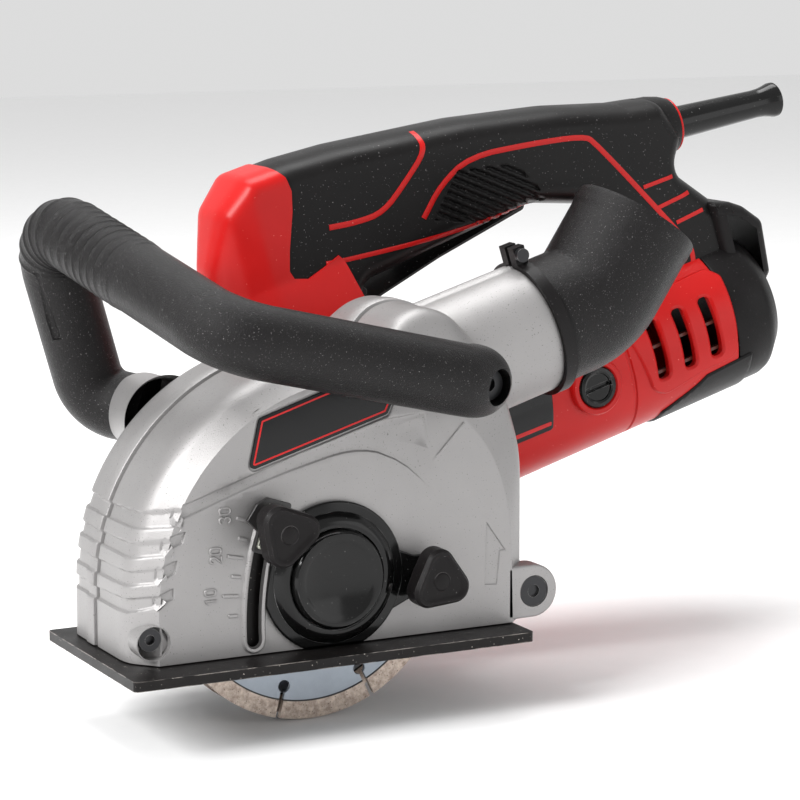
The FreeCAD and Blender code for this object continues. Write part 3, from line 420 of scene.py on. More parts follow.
def slab(loop, y0, y1, rim=0.5, holes=(), rim_back=None, frame_of=lambda x, y, z: (x, y, z)):
    """A closed plate of an (x, z) outline from y0 (near) to y1 with rounded rims and straight holes."""
    rim_back = rim if rim_back is None else rim_back
    loops = []
    near = [(inset, y0 + depth) for inset, depth in reversed(rim_steps(rim))] if rim else [(0.0, y0)]
    far = [(inset, y1 - depth) for inset, depth in rim_steps(rim_back)] if rim_back else [(0.0, y1)]
    for inset, y in near + far:
        ring = offset_loop(loop, -inset) if inset else loop
        loops.append([frame_of(x, y, z) for x, z in ring])
    points = [p for ring in loops for p in ring]
    count = len(loop)
    faces = []
    for k in range(len(loops) - 1):
        for i in range(count):
            n = (i + 1) % count
            faces.append([k * count + i, k * count + n, (k + 1) * count + n, (k + 1) * count + i])
    hole_starts = []
    for hole in holes:
        start = len(points)
        hole_starts.append((start, len(hole)))
        for y in (y0, y1):
            points.extend(frame_of(x, y, z) for x, z in hole)
        size = len(hole)
        for i in range(size):
            n = (i + 1) % size
            faces.append([start + i, start + n, start + size + n, start + size + i])
    for side, y in ((0, y0), (1, y1)):
        inset = near[0][0] if side == 0 else far[-1][0]
        flat = offset_loop(loop, -inset) if inset else list(loop)
        index = [(0 if side == 0 else (len(loops) - 1) * count) + i for i in range(count)]
        rings = [list(range(count))]
        for (start, size), hole in zip(hole_starts, holes):
            rings.append(list(range(len(flat), len(flat) + size)))
            flat = flat + list(hole)
            index += [start + side * size + i for i in range(size)]
        for tri in fill(flat, rings):
            faces.append([index[i] for i in tri])
    return points, faces


def inside(points, loop):
    """Whether each (x, z) point is inside a closed loop."""
    points = np.atleast_2d(points)
    ring = np.array(loop, float)
    result = np.zeros(len(points), bool)
    x, z = points[:, 0], points[:, 1]
    for (x0, z0), (x1, z1) in zip(ring, np.roll(ring, -1, 0)):
        crosses = (z0 > z) != (z1 > z)
        with np.errstate(divide="ignore", invalid="ignore"):
            hit = x < (x1 - x0) * (z - z0) / (z1 - z0) + x0
        result ^= crosses & hit
    return result


def fill(flat, rings):
    """Triangles of a flat region: the first ring is its edge and the others are holes."""
    edges = [(ring[i], ring[(i + 1) % len(ring)]) for ring in rings for i in range(len(ring))]
    coords, _, tris, source, _, _ = geometry.delaunay_2d_cdt([Vector(p) for p in flat], edges, [], 0, 1e-6)
    back = [s[0] if s else -1 for s in source]
    centres = np.array([[sum(coords[i].x for i in t) / 3, sum(coords[i].y for i in t) / 3] for t in tris])
    keep = inside(centres, [flat[i] for i in rings[0]])
    for ring in rings[1:]:
        keep &= ~inside(centres, [flat[i] for i in ring])
    return [[back[i] for i in t] for t, ok in zip(tris, keep) if ok and min(back[i] for i in t) >= 0]


def signed_distance(points, loop):
    """Distance from each (x, z) point to a closed loop, negative inside."""
    points = np.atleast_2d(np.array(points, float))
    ring = np.array(loop, float)
    best = np.full(len(points), 1e9)
    for a, b in zip(ring, np.roll(ring, -1, 0)):
        d = b - a
        t = np.clip(((points - a) @ d) / max(d @ d, 1e-12), 0, 1)
        best = np.minimum(best, np.linalg.norm(points - (a + t[:, None] * d), axis=1))
    return np.where(inside(points, loop), -best, best)


def smooth(value, low, high):
    """Eased step from 0 at low to 1 at high."""
    t = np.clip((value - low) / (high - low), 0, 1)
    return t * t * (3 - 2 * t)


def lathe(profile, origin, axis, segments=64, frame_of=None):
    """Turns (radius, distance along axis) points round an axis; closed where the radius is zero."""
    axis = Vector(axis).normalized()
    side = axis.orthogonal().normalized()
    up = axis.cross(side)
    origin = Vector(origin)
    points = []
    for r, h in profile:
        for k in range(segments):
            a = 2 * math.pi * k / segments
            p = origin + axis * h + (side * math.cos(a) + up * math.sin(a)) * max(r, 0.0)
            points.append(tuple(p))
    faces = []
    for j in range(len(profile) - 1):
        for k in range(segments):
            n = (k + 1) % segments
            quad = [j * segments + k, j * segments + n, (j + 1) * segments + n, (j + 1) * segments + k]
            if profile[j][0] < 1e-6:
                quad = [quad[0], quad[2], quad[3]]
            elif profile[j + 1][0] < 1e-6:
                quad = [quad[0], quad[1], quad[2]]
            faces.append(quad)
    if frame_of:
        points = [frame_of(*p) for p in points]
    return points, faces


def route(points, radii, step=1.5):
    """Points along straight runs joined by arcs of the given radii."""
    line = [Vector(points[0])]
    for i in range(1, len(points) - 1):
        p = Vector(points[i])
        before = (Vector(points[i - 1]) - p).normalized()
        after = (Vector(points[i + 1]) - p).normalized()
        half = before.angle(after) / 2
        reach = radii[i - 1] / math.tan(half)
        centre = p + (before + after).normalized() * (radii[i - 1] / math.sin(half))
        start, end = p + before * reach - centre, p + after * reach - centre
        count = max(6, int(radii[i - 1] * start.angle(end) / step))
        line.extend(centre + start.normalized().slerp(end.normalized(), k / count) * radii[i - 1]
                    for k in range(count + 1))
    line.append(Vector(points[-1]))
    dense = []
    for a, b in zip(line, line[1:]):
        count = max(1, int((b - a).length / step))
        dense.extend(a.lerp(b, k / count) for k in range(count))
    dense.append(line[-1])
    return dense


def sweep(line, radius_at, segments=56, close=True):
    """A tube round a line; radius_at(distance, angle) gives its radius."""
    points, faces = [], []
    travelled = 0.0
    side = None
    for i, p in enumerate(line):
        ahead = (line[min(i + 1, len(line) - 1)] - line[max(i - 1, 0)]).normalized()
        if i:
            travelled += (p - line[i - 1]).length
        side = (side - ahead * side.dot(ahead)).normalized() if side else ahead.orthogonal().normalized()
        up = ahead.cross(side)
        for k in range(segments):
            a = 2 * math.pi * k / segments
            r = radius_at(travelled, a)
            points.append(tuple(p + side * (math.cos(a) * r) + up * (math.sin(a) * r)))
    for i in range(len(line) - 1):
        for k in range(segments):
            n = (k + 1) % segments
            faces.append([i * segments + k, i * segments + n, (i + 1) * segments + n, (i + 1) * segments + k])
    if close:
        faces.append(list(range(segments)))
        faces.append([(len(line) - 1) * segments + k for k in range(segments)])
    return points, faces


def block(corners_low, corners_high, frame_of=lambda x, y, z: (x, y, z)):
    """A six-sided helper solid between two corners."""
    (x0, y0, z0), (x1, y1, z1) = corners_low, corners_high
    points = [frame_of(x, y, z) for x in (x0, x1) for y in (y0, y1) for z in (z0, z1)]
    faces = [[0, 1, 3, 2], [4, 6, 7, 5], [0, 4, 5, 1], [2, 3, 7, 6], [0, 2, 6, 4], [1, 5, 7, 3]]
    return points, faces


def strokes(lines, radius, segments=10):
    """Rounded raised lines along 3-D polylines."""
    made = []
    for line in lines:
        path = [Vector(p) for p in line]
        dense = []
        for a, b in zip(path, path[1:]):
            dense.extend(a.lerp(b, t) for t in (0.0, 0.5))
        dense.append(path[-1])
        made.append(sweep(dense, lambda s, a: radius, segments))
        for end in (dense[0], dense[-1]):
            made.append(lathe([(0, -radius), (radius * 0.7, -radius * 0.7), (radius, 0),
                               (radius * 0.7, radius * 0.7),
                               (0, radius)], end, (0, 1, 0), segments))
    return made


# ---------------------------------------------------------------- guard
FOOT = cad_span("guard_far_half", 2)[0]
FLAT_NEAR, FLAT_FAR = -20.0, 55.0
FLAT_LEFT = -73.6
PIVOT = tuple(joint_place("depth_swing")[::2])
SCALE_R = 126.5
RIDGE = [(46.7, 28.0), (42.8, 32.8), (38.6, 36.9), (34.1, 40.9), (28.7, 44.4), (20.9, 47.9), (16.3, 48.9),
         (11.3, 49.3), (5.3, 49.0), (-0.8, 47.9), (-17.8, 43.7), (-34.5, 38.9), (-49.8, 33.6), (-63.8, 28.6)]
BAND = [(-60.6, 34.8), (-36.1, 42.9), (-13.4, 50.2), (24.3, 60.9), (41.7, 62.5), (44.5, 48.1), (46.8, 34.5),
        (48.5, 26.0)]
STICKER = [(-35.3, 44.9), (-30.6, 65.5), (14.0, 79.5), (31.5, 76.0), (25.2, 62.9)]
# Top and bottom heights at the split, the corner and the face's edge, then the groove's end on the face.
GROOVES = [
    ((29.3, 30.7, 32.7), (23.9, 24.5, 26.2), None),
    ((18.0, 18.7, 21.0), (13.3, 13.2, 15.6), [(-62.1, 23.8), (-63.5, 19.4), (-69.2, 17.1)]),
    ((7.3, 7.9, 10.2), (1.7, 2.4, 4.8), [(-65.8, 12.8), (-66.7, 7.8), (-71.1, 5.7)]),
    ((-3.9, -2.7, -0.4), (-8.7, -8.2, -4.3), [(-67.5, 2.0), (-67.5, -2.2), (-73.0, -4.1)]),
]
ARROW = [(70.2, 14.8), (78.7, 2.8), (76.3, 2.7), (75.0, -11.2), (69.5, -10.8)]
WEDGE = [(16.6, 55.5), (41.0, 61.0), (43.5, 47.5)]


def about_pivot(angle, r=SCALE_R):
    a = math.radians(angle)
    return PIVOT[0] - r * math.cos(a), PIVOT[1] + r * math.sin(a)


def slot_loop(half):
    """The depth slot: an arc band about the pivot with round ends."""
    low, high = -2.9, 19.2
    loop = [about_pivot(a, SCALE_R - half) for a in np.linspace(low, high, 40)]
    top, bottom = Vector(about_pivot(high)), Vector(about_pivot(low))
    for k in range(1, 12):
        a = math.radians(high)
        turn = math.pi * k / 12
        away = Vector((math.cos(a), -math.sin(a)))
        up = Vector((math.sin(a), math.cos(a)))
        loop.append(tuple(top + away * half * math.cos(turn) + up * half * math.sin(turn)))
    loop += [about_pivot(a, SCALE_R + half) for a in np.linspace(high, low, 40)]
    for k in range(1, 12):
        a = math.radians(low)
        turn = math.pi * k / 12
        away = Vector((-math.cos(a), math.sin(a)))
        down = Vector((-math.sin(a), -math.cos(a)))
        loop.append(tuple(bottom + away * half * math.cos(turn) + down * half * math.sin(turn)))
    return loop


def guard_outlines():
    """Matched (x, z) points of the wide body and of the narrower flat faces, front foot to rear foot."""
    wide, flat = [], []

    def run_line(count, a, b, c, d):
        for t in np.linspace(0, 1, count, endpoint=False):
            wide.append((a[0] + (b[0] - a[0]) * t, a[1] + (b[1] - a[1]) * t))
            flat.append((c[0] + (d[0] - c[0]) * t, c[1] + (d[1] - c[1]) * t))

    def run_arc(steps, a, ra, a0, a1, b, rb, b0, b1):
        for t in steps:
            p, q = math.radians(a0 + (a1 - a0) * t), math.radians(b0 + (b1 - b0) * t)
            wide.append((a[0] + ra * math.cos(p), a[1] + ra * math.sin(p)))
            flat.append((b[0] + rb * math.cos(q), b[1] + rb * math.sin(q)))

    run_line(52, (-83.3, FOOT), (-83.3, -5.5), (FLAT_LEFT, FOOT), (FLAT_LEFT, -6.6))
    fine = list(np.linspace(0, 0.34, 110, endpoint=False)) + list(np.linspace(0.34, 1, 60, endpoint=False))
    run_arc(fine, (8.4, -5.5), 91.7, 180, 80, (11.7, -6.6), 85.1, 180, 92)
    first = len(wide)
    run_line(10, (24.3, 84.8), (36, 99.5), (8.7, 78.4), (26.7, 77.5))
    run_line(8, (36, 99.5), (48, 103.0), (26.7, 77.5), (37.0, 74.5))
    run_line(8, (48, 103.0), (62, 99), (37.0, 74.5), (53.6, 65.5))
    run_line(14, (62, 99), (84, 72), (53.6, 65.5), (73.3, 43.6))
    run_line(14, (84, 72), (93, 44), (73.3, 43.6), (81.5, 18.0))
    run_line(30, (93, 44), (93, FOOT), (81.5, 18.0), (82.6, FOOT))
    wide.append((93, FOOT))
    flat.append((82.6, FOOT))
    result = []
    for loop, rounds in ((wide, 14), (flat, 40)):
        points = np.array(loop, float)
        for _ in range(rounds):
            points[first - 3:-1] = (points[first - 4:-2] + 2 * points[first - 3:-1] + points[first - 2:]) / 4
        result.append(points)
    return result


WIDE, FLAT = guard_outlines()


def outward(points):
    """Unit normals of an open outline, away from the body."""
    ahead = np.gradient(points, axis=0)
    ahead /= np.linalg.norm(ahead, axis=1)[:, None]
    return np.stack([-ahead[:, 1], ahead[:, 0]], 1)


def groove_depth(z, level):
    """How deep the stacked grooves cut at height z; level is 0 at the split, 2 on the face."""
    depth = np.zeros(len(z))
    for tops, bottoms, _ in GROOVES:
        top = np.interp(level, (0, 1, 2), tops)
        bottom = np.interp(level, (0, 1, 2), bottoms)
        depth = np.maximum(depth, smooth(z, bottom - 0.45, bottom + 0.45)
                           * (1 - smooth(z, top - 0.2, top + 0.2)))
    return depth * 1.25


def guard_rings(stations, groove_span):
    """Rings of points for (share, y, proud, level) stations from the split to a flat face."""
    rings = []
    for share, y, proud, level in stations:
        ring = WIDE * (1 - share) + FLAT * share
        push = np.full(len(ring), proud)
        if groove_span:
            front = ring[:, 0] < -30
            push = push - np.where(front, groove_depth(ring[:, 1], level), 0.0)
        out = outward(ring)
        lean = math.sqrt(max(0.0, 1 - share * 0.5))
        rings.append((ring + out * (push * lean)[:, None], y))
    return rings


def near_stations():
    """(share, y, proud, level) of each wall ring of the near half, from the split outward."""
    made = [(0.0, 21.85, -1.1, 0.0), (0.0, 21.0, -1.1, 0.0), (0.0, 20.7, -0.2, 0.0), (0.0, 20.3, 0.0, 0.0)]
    for y in np.linspace(19, -2, 15):
        made.append((0.0, y, 0.0, (20 - y) / 29))
    for t in np.linspace(0.1, 1, 10):
        share = 0.35 * t * t
        y = -2 * (1 - t) ** 2 - 18 * t * (1 - t) - 12.85 * t * t
        made.append((share, y, 0.0, 0.76 + 0.24 * t + share))
    for share in np.linspace(0.42, 0.93, 8):
        made.append((share, -9 - 11 * share, 0.0, 1 + share))
    made.append((0.975, -19.72, 0.0, 1.98))
    made.append((1.0, FLAT_NEAR, 0.0, 2.0))
    return made


def far_stations():
    """(share, y, proud, level) of each wall ring of the far half, from the split outward."""
    made = [(0.0, 22.15, -1.1, 0.0), (0.0, 22.6, -1.1, 0.0), (0.0, 22.9, 0.4, 0.0), (0.0, 23.3, 0.7, 0.0),
            (0.0, 30.4, 0.7, 0.0), (0.0, 31.0, 0.0, 0.0)]
    for y in np.linspace(32, 40, 7):
        made.append((0.0, y, 0.0, 0.35))
    for t in np.linspace(0.1, 1, 10):
        share = 0.35 * t * t
        made.append((share, 40 * (1 - t) ** 2 + 92 * t * (1 - t) + 49.15 * t * t, 0.0, 0.35 + share))
    for share in np.linspace(0.42, 0.93, 8):
        made.append((share, 46 + 9 * share, 0.0, 0.35 + share))
    made.append((0.975, 54.8, 0.0, 1.3))
    made.append((1.0, FLAT_FAR, 0.0, 1.35))
    return made


BAND_LOOP = [(-78, 31.9)] + BAND + RIDGE + [(-78, 25.0)]
STICKER_PAD = offset_loop(rounded(STICKER, 2.0), 0.9)


def groove_end_loop(tops, bottoms, end):
    """Outline of a groove's end on the flat face, run on past the face's front edge."""
    top = tops[2] - (end[0][1] - tops[2]) * 4.4 / (end[0][0] - FLAT_LEFT)
    bottom = bottoms[2] - (end[2][1] - bottoms[2]) * 4.4 / max(0.6, end[2][0] - FLAT_LEFT) * 0.3
    return [(-78, top), *end, (-78, bottom)]


def face_height(points, near):
    """Depth below the flat face at each point, in mm; negative where the casting stands proud."""
    depth = np.zeros(len(points))
    if not near:
        return depth
    for groove in GROOVES[1:]:
        near_edge = signed_distance(points, groove_end_loop(*groove))
        depth = np.maximum(depth, 1.25 * (1 - smooth(near_edge, -0.35, 0.35)))
    fade = 1 - smooth(points[:, 0], 30, 47)
    depth = np.maximum(depth, (1.25 - 0.35 * smooth(points[:, 0], -70, -50)) * fade
                       * (1 - smooth(signed_distance(points, BAND_LOOP), -0.35, 0.35)))
    depth = np.maximum(depth, 1.0 * (1 - smooth(signed_distance(points, STICKER_PAD), -0.3, 0.3)))
    depth = np.maximum(depth, 0.55 * (1 - smooth(signed_distance(points, ARROW), -0.3, 0.3)))
    depth = np.maximum(depth, 1.1 * (1 - smooth(signed_distance(points, WEDGE), -1.6, 0.3)))
    rim = signed_distance(points, slot_loop(3.2))
    depth -= 1.15 * (1 - smooth(rim, 1.25, 2.0)) * (0.75 + 0.25 * smooth(rim, 0.0, 0.4))
    line = [(59.7, 57.1), (44.8, 41.8)]
    a, b = np.array(line[0]), np.array(line[1])
    t = np.clip((points - a) @ (b - a) / ((b - a) @ (b - a)), 0, 1)
    away = np.linalg.norm(points - a - t[:, None] * (b - a), axis=1)
    depth -= 0.6 * (1 - smooth(away, 0.2, 0.8)) * (1 - smooth(t, 0.7, 1.0))
    return depth


def flat_face(y, near, holes):
    """The flat side face as a fine triangulation whose edges follow every cast step."""
    border = [tuple(p) for p in FLAT]
    foot = [(x, FOOT) for x in np.linspace(FLAT[-1][0], FLAT[0][0], 54)[1:-1]]
    rings = [border + foot] + holes
    flat, edges = [], []
    for ring in rings:
        start = len(flat)
        flat += ring
        edges += [(start + i, start + (i + 1) % len(ring)) for i in range(len(ring))]
    contours = []
    if near:
        contours = [groove_end_loop(*groove) for groove in GROOVES[1:]]
        contours += [BAND_LOOP, STICKER_PAD, ARROW, WEDGE]
    shifts = [(-0.42, -0.2, 0.0, 0.2, 0.42)] * len(contours)
    if near:
        contours.append(slot_loop(3.2))
        shifts.append((0.4, 1.2, 1.45, 1.75, 2.05))
        contours.append([(60.4, 56.4), (45.5, 41.1), (44.1, 42.5), (59.0, 57.8)])
        shifts.append((-0.7, -0.3, 0.0))
    edge_loop = border + foot
    for contour, steps in zip(contours, shifts):
        dense = []
        for a, b in zip(contour, contour[1:] + contour[:1]):
            count = max(1, int(math.dist(a, b) / 1.2))
            dense += [(a[0] + (b[0] - a[0]) * k / count, a[1] + (b[1] - a[1]) * k / count)
                      for k in range(count)]
        for step in steps:
            moved = offset_loop(dense, step)
            clear = signed_distance(moved, edge_loop) < -0.25
            for hole in holes:
                clear &= signed_distance(moved, hole) > 0.15
            start = len(flat)
            index = {}
            for i, ok in enumerate(clear):
                if ok:
                    index[i] = len(flat)
                    flat.append(moved[i])
            for i in range(len(moved)):
                n = (i + 1) % len(moved)
                if i in index and n in index:
                    edges.append((index[i], index[n]))
    xs, zs = np.meshgrid(np.arange(-74, 84, 2.6), np.arange(FOOT, 80, 2.6))
    grid = np.stack([xs.ravel() + 0.6 * np.sin(zs.ravel()), zs.ravel()], 1)
    clear = signed_distance(grid, edge_loop) < -0.9
    for hole in holes:
        clear &= signed_distance(grid, hole) > 0.9
    flat += [tuple(p) for p in grid[clear]]
    coords, _, tris, _, _, _ = geometry.delaunay_2d_cdt([Vector(p) for p in flat], edges, [], 0, 1e-5)
    points = np.array([tuple(c) for c in coords])
    centres = points[np.array(tris)].mean(1)
    keep = inside(centres, edge_loop)
    for hole in holes:
        keep &= ~inside(centres, hole)
    depth = face_height(points, near) * (1 if near else -1)
    return [(p[0], y + d, p[1]) for p, d in zip(points, depth)], [list(t) for t, ok in zip(tris, keep) if ok]


def guard_half(near):
    """Skin of one guard half: swept wall rings and the flat side face."""
    stations = near_stations() if near else far_stations()
    rings = guard_rings(stations, True)
    points, faces = [], []
    for ring, y in rings:
        points.extend((p[0], y, p[1]) for p in ring)
    count = len(WIDE)
    for j in range(len(rings) - 1):
        for i in range(count - 1):
            faces.append([j * count + i, j * count + i + 1, (j + 1) * count + i + 1, (j + 1) * count + i])
    if near:
        edge = face_height(FLAT, True)
        for i, p in enumerate(FLAT):
            points[(len(rings) - 1) * count + i] = (p[0], FLAT_NEAR + edge[i], p[1])
    circle = [(24.5 * math.cos(a), 24.5 * math.sin(a))
              for a in np.linspace(0, 2 * math.pi, 72, endpoint=False)]
    neck = [(20.3 * c / 24.5, 20.3 * s / 24.5) for c, s in circle]
    holes = [slot_loop(3.2), circle] if near else [neck]
    return [(points, faces), flat_face(FLAT_NEAR if near else FLAT_FAR, near, holes)]


def thickened(parts, thickness):
    """Gives open skins a wall, inward."""
    skin = loose(parts)
    solid = skin.modifiers.new("wall", "SOLIDIFY")
    solid.thickness = thickness * MM
    solid.offset = -1.0
    applied(skin)
    return parts_of(skin)


def duct_half(near):
    """Half of the dust duct, behind the guard's hump, with a raised bead along the split."""
    split = 21.85 if near else 22.15
    edge = math.degrees(math.asin((split - 20) / 27.5))
    low, high = (edge, -180 - edge) if near else (edge, 180 - edge)
    angles = np.radians(np.linspace(low, high, 60))
    profile = []
    for k, a in enumerate(angles):
        from_split = min(abs(a - angles[0]), abs(a - angles[-1])) * 27.5
        bead = 1.1 * (1 - smooth(from_split, 1.6, 2.4)) if near else 0.9 * (1 - smooth(from_split, 4.0, 4.8))
        profile.append((a, 27.5 + float(bead) - (0.9 if k in (0, len(angles) - 1) else 0.0)))
    points, faces = [], []
    us = [40.0, 90.0, 131.2, 131.6]
    outer_r = [0, 0, 0, -0.4]
    for u, shift in zip(us, outer_r):
        for a, r in profile:
            points.append(tool(u, 20 + (r + shift) * math.sin(a), 50 + (r + shift) * math.cos(a)))
    for u, r in ((137.5, 27.0), (118.0, 25.2)):
        for a, _ in profile:
            points.append(tool(u, 20 + r * math.sin(a), 50 + r * math.cos(a)))
    count = len(profile)
    for j in range(len(us) + 1):
        for i in range(count - 1):
            faces.append([j * count + i, j * count + i + 1, (j + 1) * count + i + 1, (j + 1) * count + i])
    return points, faces


def lug(y0, y1):
    """The round ear at the depth pivot, tied to the body by a web."""
    return slab(arc(PIVOT[0], PIVOT[1], 11.0, -88, 88, 26) + [(80, -5.0), (80, -27.2)], y0, y1, rim=1.2)


def digit_lines(text, x, z, height):
    """Stroke digits that read upward: the text runs along +z and its tops point to -x."""
    width = height * 0.52
    round_box = [(0, 0.25), (0, 0.75), (0.15, 0.95), (0.5, 1.0), (0.85, 0.95), (1, 0.75), (1, 0.25),
                 (0.85, 0.05),
                 (0.5, 0), (0.15, 0.05), (0, 0.25)]
    shapes = {
        "0": [round_box],
        "1": [[(0.2, 0.78), (0.6, 1.0), (0.6, 0.0)]],
        "2": [[(0.02, 0.78), (0.2, 0.96), (0.5, 1.0), (0.85, 0.92), (0.97, 0.7), (0.85, 0.5), (0.0, 0.0),
               (1.0, 0.0)]],
        "3": [[(0.03, 0.85), (0.3, 1.0), (0.7, 0.98), (0.95, 0.78), (0.8, 0.57), (0.45, 0.52), (0.8, 0.47),
               (0.98, 0.25), (0.75, 0.03), (0.3, 0.0), (0.0, 0.15)]],
    }
    lines = []
    for k, character in enumerate(text):
        for shape in shapes[character]:
            lines.append([(x + height * (0.5 - b), FLAT_NEAR - 0.15, z + k * width * 1.45 + a * width)
                          for a, b in shape])
    return lines


def scale_parts():
    """Raised ticks and numbers of the depth scale beside the slot."""
    parts = []
    arm = math.hypot(*PIVOT)
    rest = -math.degrees(math.asin((62.5 - 30 - (PIVOT[1] + 32.5)) / arm))
    for depth in range(5, 35, 5):
        angle = 18.0 + (-math.degrees(math.asin((62.5 - depth - (PIVOT[1] + 32.5)) / arm))) - rest
        r0 = SCALE_R + 6.6
        length = 7.2 if depth % 10 == 0 else 4.2
        a, b = about_pivot(angle, r0), about_pivot(angle, r0 + length)
        side = Vector((b[1] - a[1], a[0] - b[0])).normalized() * 0.75
        loop = [(a[0] + side.x, a[1] + side.y), (b[0] + side.x, b[1] + side.y),
                (b[0] - side.x, b[1] - side.y),
                (a[0] - side.x, a[1] - side.y)]
        parts.append(slab(rounded(loop, 0.5, 4), FLAT_NEAR - 0.75, FLAT_NEAR + 0.4, rim=0.4, rim_back=0))
        if depth % 10 == 0:
            x, z = about_pivot(angle, r0 + length + 5.0)
            parts += strokes(digit_lines(str(depth), x, z - 3.3, 4.7), 0.52)
    return parts


def build_guard():
    """Both guard halves with their ducts, bosses and recesses."""
    for near in (True, False):
        body = thickened(guard_half(near), 2.6)
        extra = [thickened([duct_half(near)], 1.6)]
        if near:
            extra += [lug(FLAT_NEAR, -9.2), *scale_parts()]
            boss = [(0.0, -4.0), (11.8, -4.0), (12.6, -3.2), (12.6, 14.0)]
            extra.append(lathe(boss, (58, -20, 75), (0, 1, 0), 56))
        else:
            extra.append(lug(43.5, FLAT_FAR))
            boss = [(0.0, 25.0), (15.0, 25.0), (15.9, 24.2), (16.0, 23.0), (16.6, 2.0), (18.5, -2.0)]
            extra.append(lathe(boss, (-41, 50, 55.5), (0, 1, 0), 64))
        name = "guard_near_shell" if near else "guard_far_shell"
        made = piece(name, [body] + extra, "tool_body", "cast_shell",
                     ["guard_near_half" if near else "guard_far_half"], sharp=38)
        holes = []
        if near:
            holes.append(lathe([(0, -4), (7.0, -4), (7.0, 13.5), (0, 13.5)], (-75.9, -24, -18.9), (0, 1, 0),
                               48))
            holes.append(lathe([(0, -4), (6.6, -4), (6.6, 2.1), (0, 2.1)], (PIVOT[0], FLAT_NEAR, PIVOT[1]),
                               (0, 1, 0),
                               48))
        else:
            holes.append(lathe([(0, 2), (6.6, 2), (6.6, -2.0), (0, -2.0)], (PIVOT[0], FLAT_FAR, PIVOT[1]),
                               (0, 1, 0),
                               48))
        cut(made, holes)
        reshaded(made, 38)
        if near:
            cup = [(7.0, 0.6), (7.0, 9.6), (0.0, 9.6)]
            piece("screw_pocket", [thickened([lathe(cup, (-75.9, -20, -18.9), (0, 1, 0), 48)], 0.4)],
                  "tool_body", "cast_shell")


build_guard()


# ---------------------------------------------------------------- surfaces over an outline
def dense_loop(loop, step=1.5):
    """The same closed loop with points no further apart than step."""
    made = []
    for a, b in zip(loop, list(loop[1:]) + [loop[0]]):
        count = max(1, math.ceil(math.dist(a, b) / step))
        made += [(a[0] + (b[0] - a[0]) * k / count, a[1] + (b[1] - a[1]) * k / count) for k in range(count)]
    return made


def depth_inside(points, walls):
    """Distance of each point from the nearest edge of a region given as [outline, *holes]."""
    away = -signed_distance(points, walls[0])
    for hole in walls[1:]:
        away = np.minimum(away, signed_distance(points, hole))
    return away


def triangulated(loop, step, holes=(), rings=(), lines=(), dense=()):
    """Points, triangles and edge distances of a flat region, finer near its edges and in dense areas."""
    walls = [dense_loop(ring) for ring in (loop, *holes)]
    flat, edges = [], []
    for ring in walls:
        start = len(flat)
        flat += ring
        edges += [(start + i, start + (i + 1) % len(ring)) for i in range(len(ring))]
    for k, ring in enumerate(walls):
        for inset in rings:
            moved = offset_loop(ring, -inset if k == 0 else inset)
            flat += [p for p, ok in zip(moved, depth_inside(moved, walls) > inset * 0.93) if ok]
    for line in lines:
        points = []
        for a, b in zip(line, line[1:]):
            count = max(1, int(math.dist(a, b)))
            points += [(a[0] + (b[0] - a[0]) * k / count, a[1] + (b[1] - a[1]) * k / count)
                       for k in range(count)]
        points.append(line[-1])
        order = {}
        for i, ok in enumerate(signed_distance(points, walls[0]) < 6.0):
            if ok:
                order[i] = len(flat)
                flat.append(points[i])
        edges += [(order[i], order[i + 1]) for i in range(len(points) - 1) if i in order and i + 1 in order]
    low, high = np.min(walls[0], 0), np.max(walls[0], 0)
    for fine, area in [(step, None), *dense]:
        xs, zs = np.meshgrid(np.arange(low[0], high[0], fine), np.arange(low[1], high[1], fine))
        xs = xs + (np.arange(xs.shape[0]) % 2)[:, None] * fine * 0.5
        grid = np.stack([xs.ravel(), zs.ravel()], 1)
        away = depth_inside(grid, walls)
        if area:
            clear = inside(grid, area) & (away > 0.4)
        else:
            clear = away > max([fine * 0.5, *rings[-1:]])
            for _, other in dense:
                clear &= ~inside(grid, other)
        flat += [tuple(p) for p in grid[clear]]
    coords, _, tris, _, _, _ = geometry.delaunay_2d_cdt([Vector(p) for p in flat], edges, [], 0, 1e-5)
    points = np.array([tuple(c) for c in coords])
    centres = points[np.array(tris)].mean(1)
    keep = depth_inside(centres, walls) > 0
    return (points, np.array([list(t) for t, ok in zip(tris, keep) if ok]),
            np.maximum(depth_inside(points, walls), 0))


def solid_over(points, tris, top, under, place_at):
    """A closed solid between two heights over a triangulated region."""
    used, index = np.unique(tris, return_inverse=True)
    tris = index.reshape(np.shape(tris)).tolist()
    count = len(used)
    made = [place_at(points[i][0], top[i], points[i][1]) for i in used]
    made += [place_at(points[i][0], under[i], points[i][1]) for i in used]
    sides = {(t[k], t[(k + 1) % 3]) for t in tris for k in range(3)}
    faces = tris + [[count + i for i in reversed(t)] for t in tris]
    faces += [[b, a, count + a, count + b] for a, b in sorted(sides) if (b, a) not in sides]
    return made, faces


def relief(loop, height, step, holes=(), rings=(), place_at=None, base=-0.4):
    """A closed plate over an outline whose face height is height(points, distance from its edge)."""
    points, tris, away = triangulated(loop, step, holes, rings)
    return solid_over(points, tris, height(points, away), np.full(len(points), base), place_at)


def pipe_shell(line, outer_at, inner_at, segments=72):
    """A pipe with a wall, closed at both ends."""
    outside, faces = sweep(line, outer_at, segments, close=False)
    within, _ = sweep(line, inner_at, segments, close=False)
    count = len(outside)
    faces = list(faces) + [[count + i for i in reversed(face)] for face in faces]
    for first in (0, (len(line) - 1) * segments):
        for k in range(segments):
            n = (k + 1) % segments
            faces.append([first + k, first + n, count + first + n, count + first + k])
    return outside + within, faces


HOUSING_R = 36.5


def on_housing(u, rise, v, side=-1):
    """A point above the motor housing's wall at width v on its near (-1) or far (1) side."""
    angle, r = v / HOUSING_R, HOUSING_R + rise
    return tool(u, MOTOR_Y + side * r * math.cos(angle), r * math.sin(angle))


# ---------------------------------------------------------------- front bow handle
BAR_R, RIB_PITCH = 14.45, 5.4


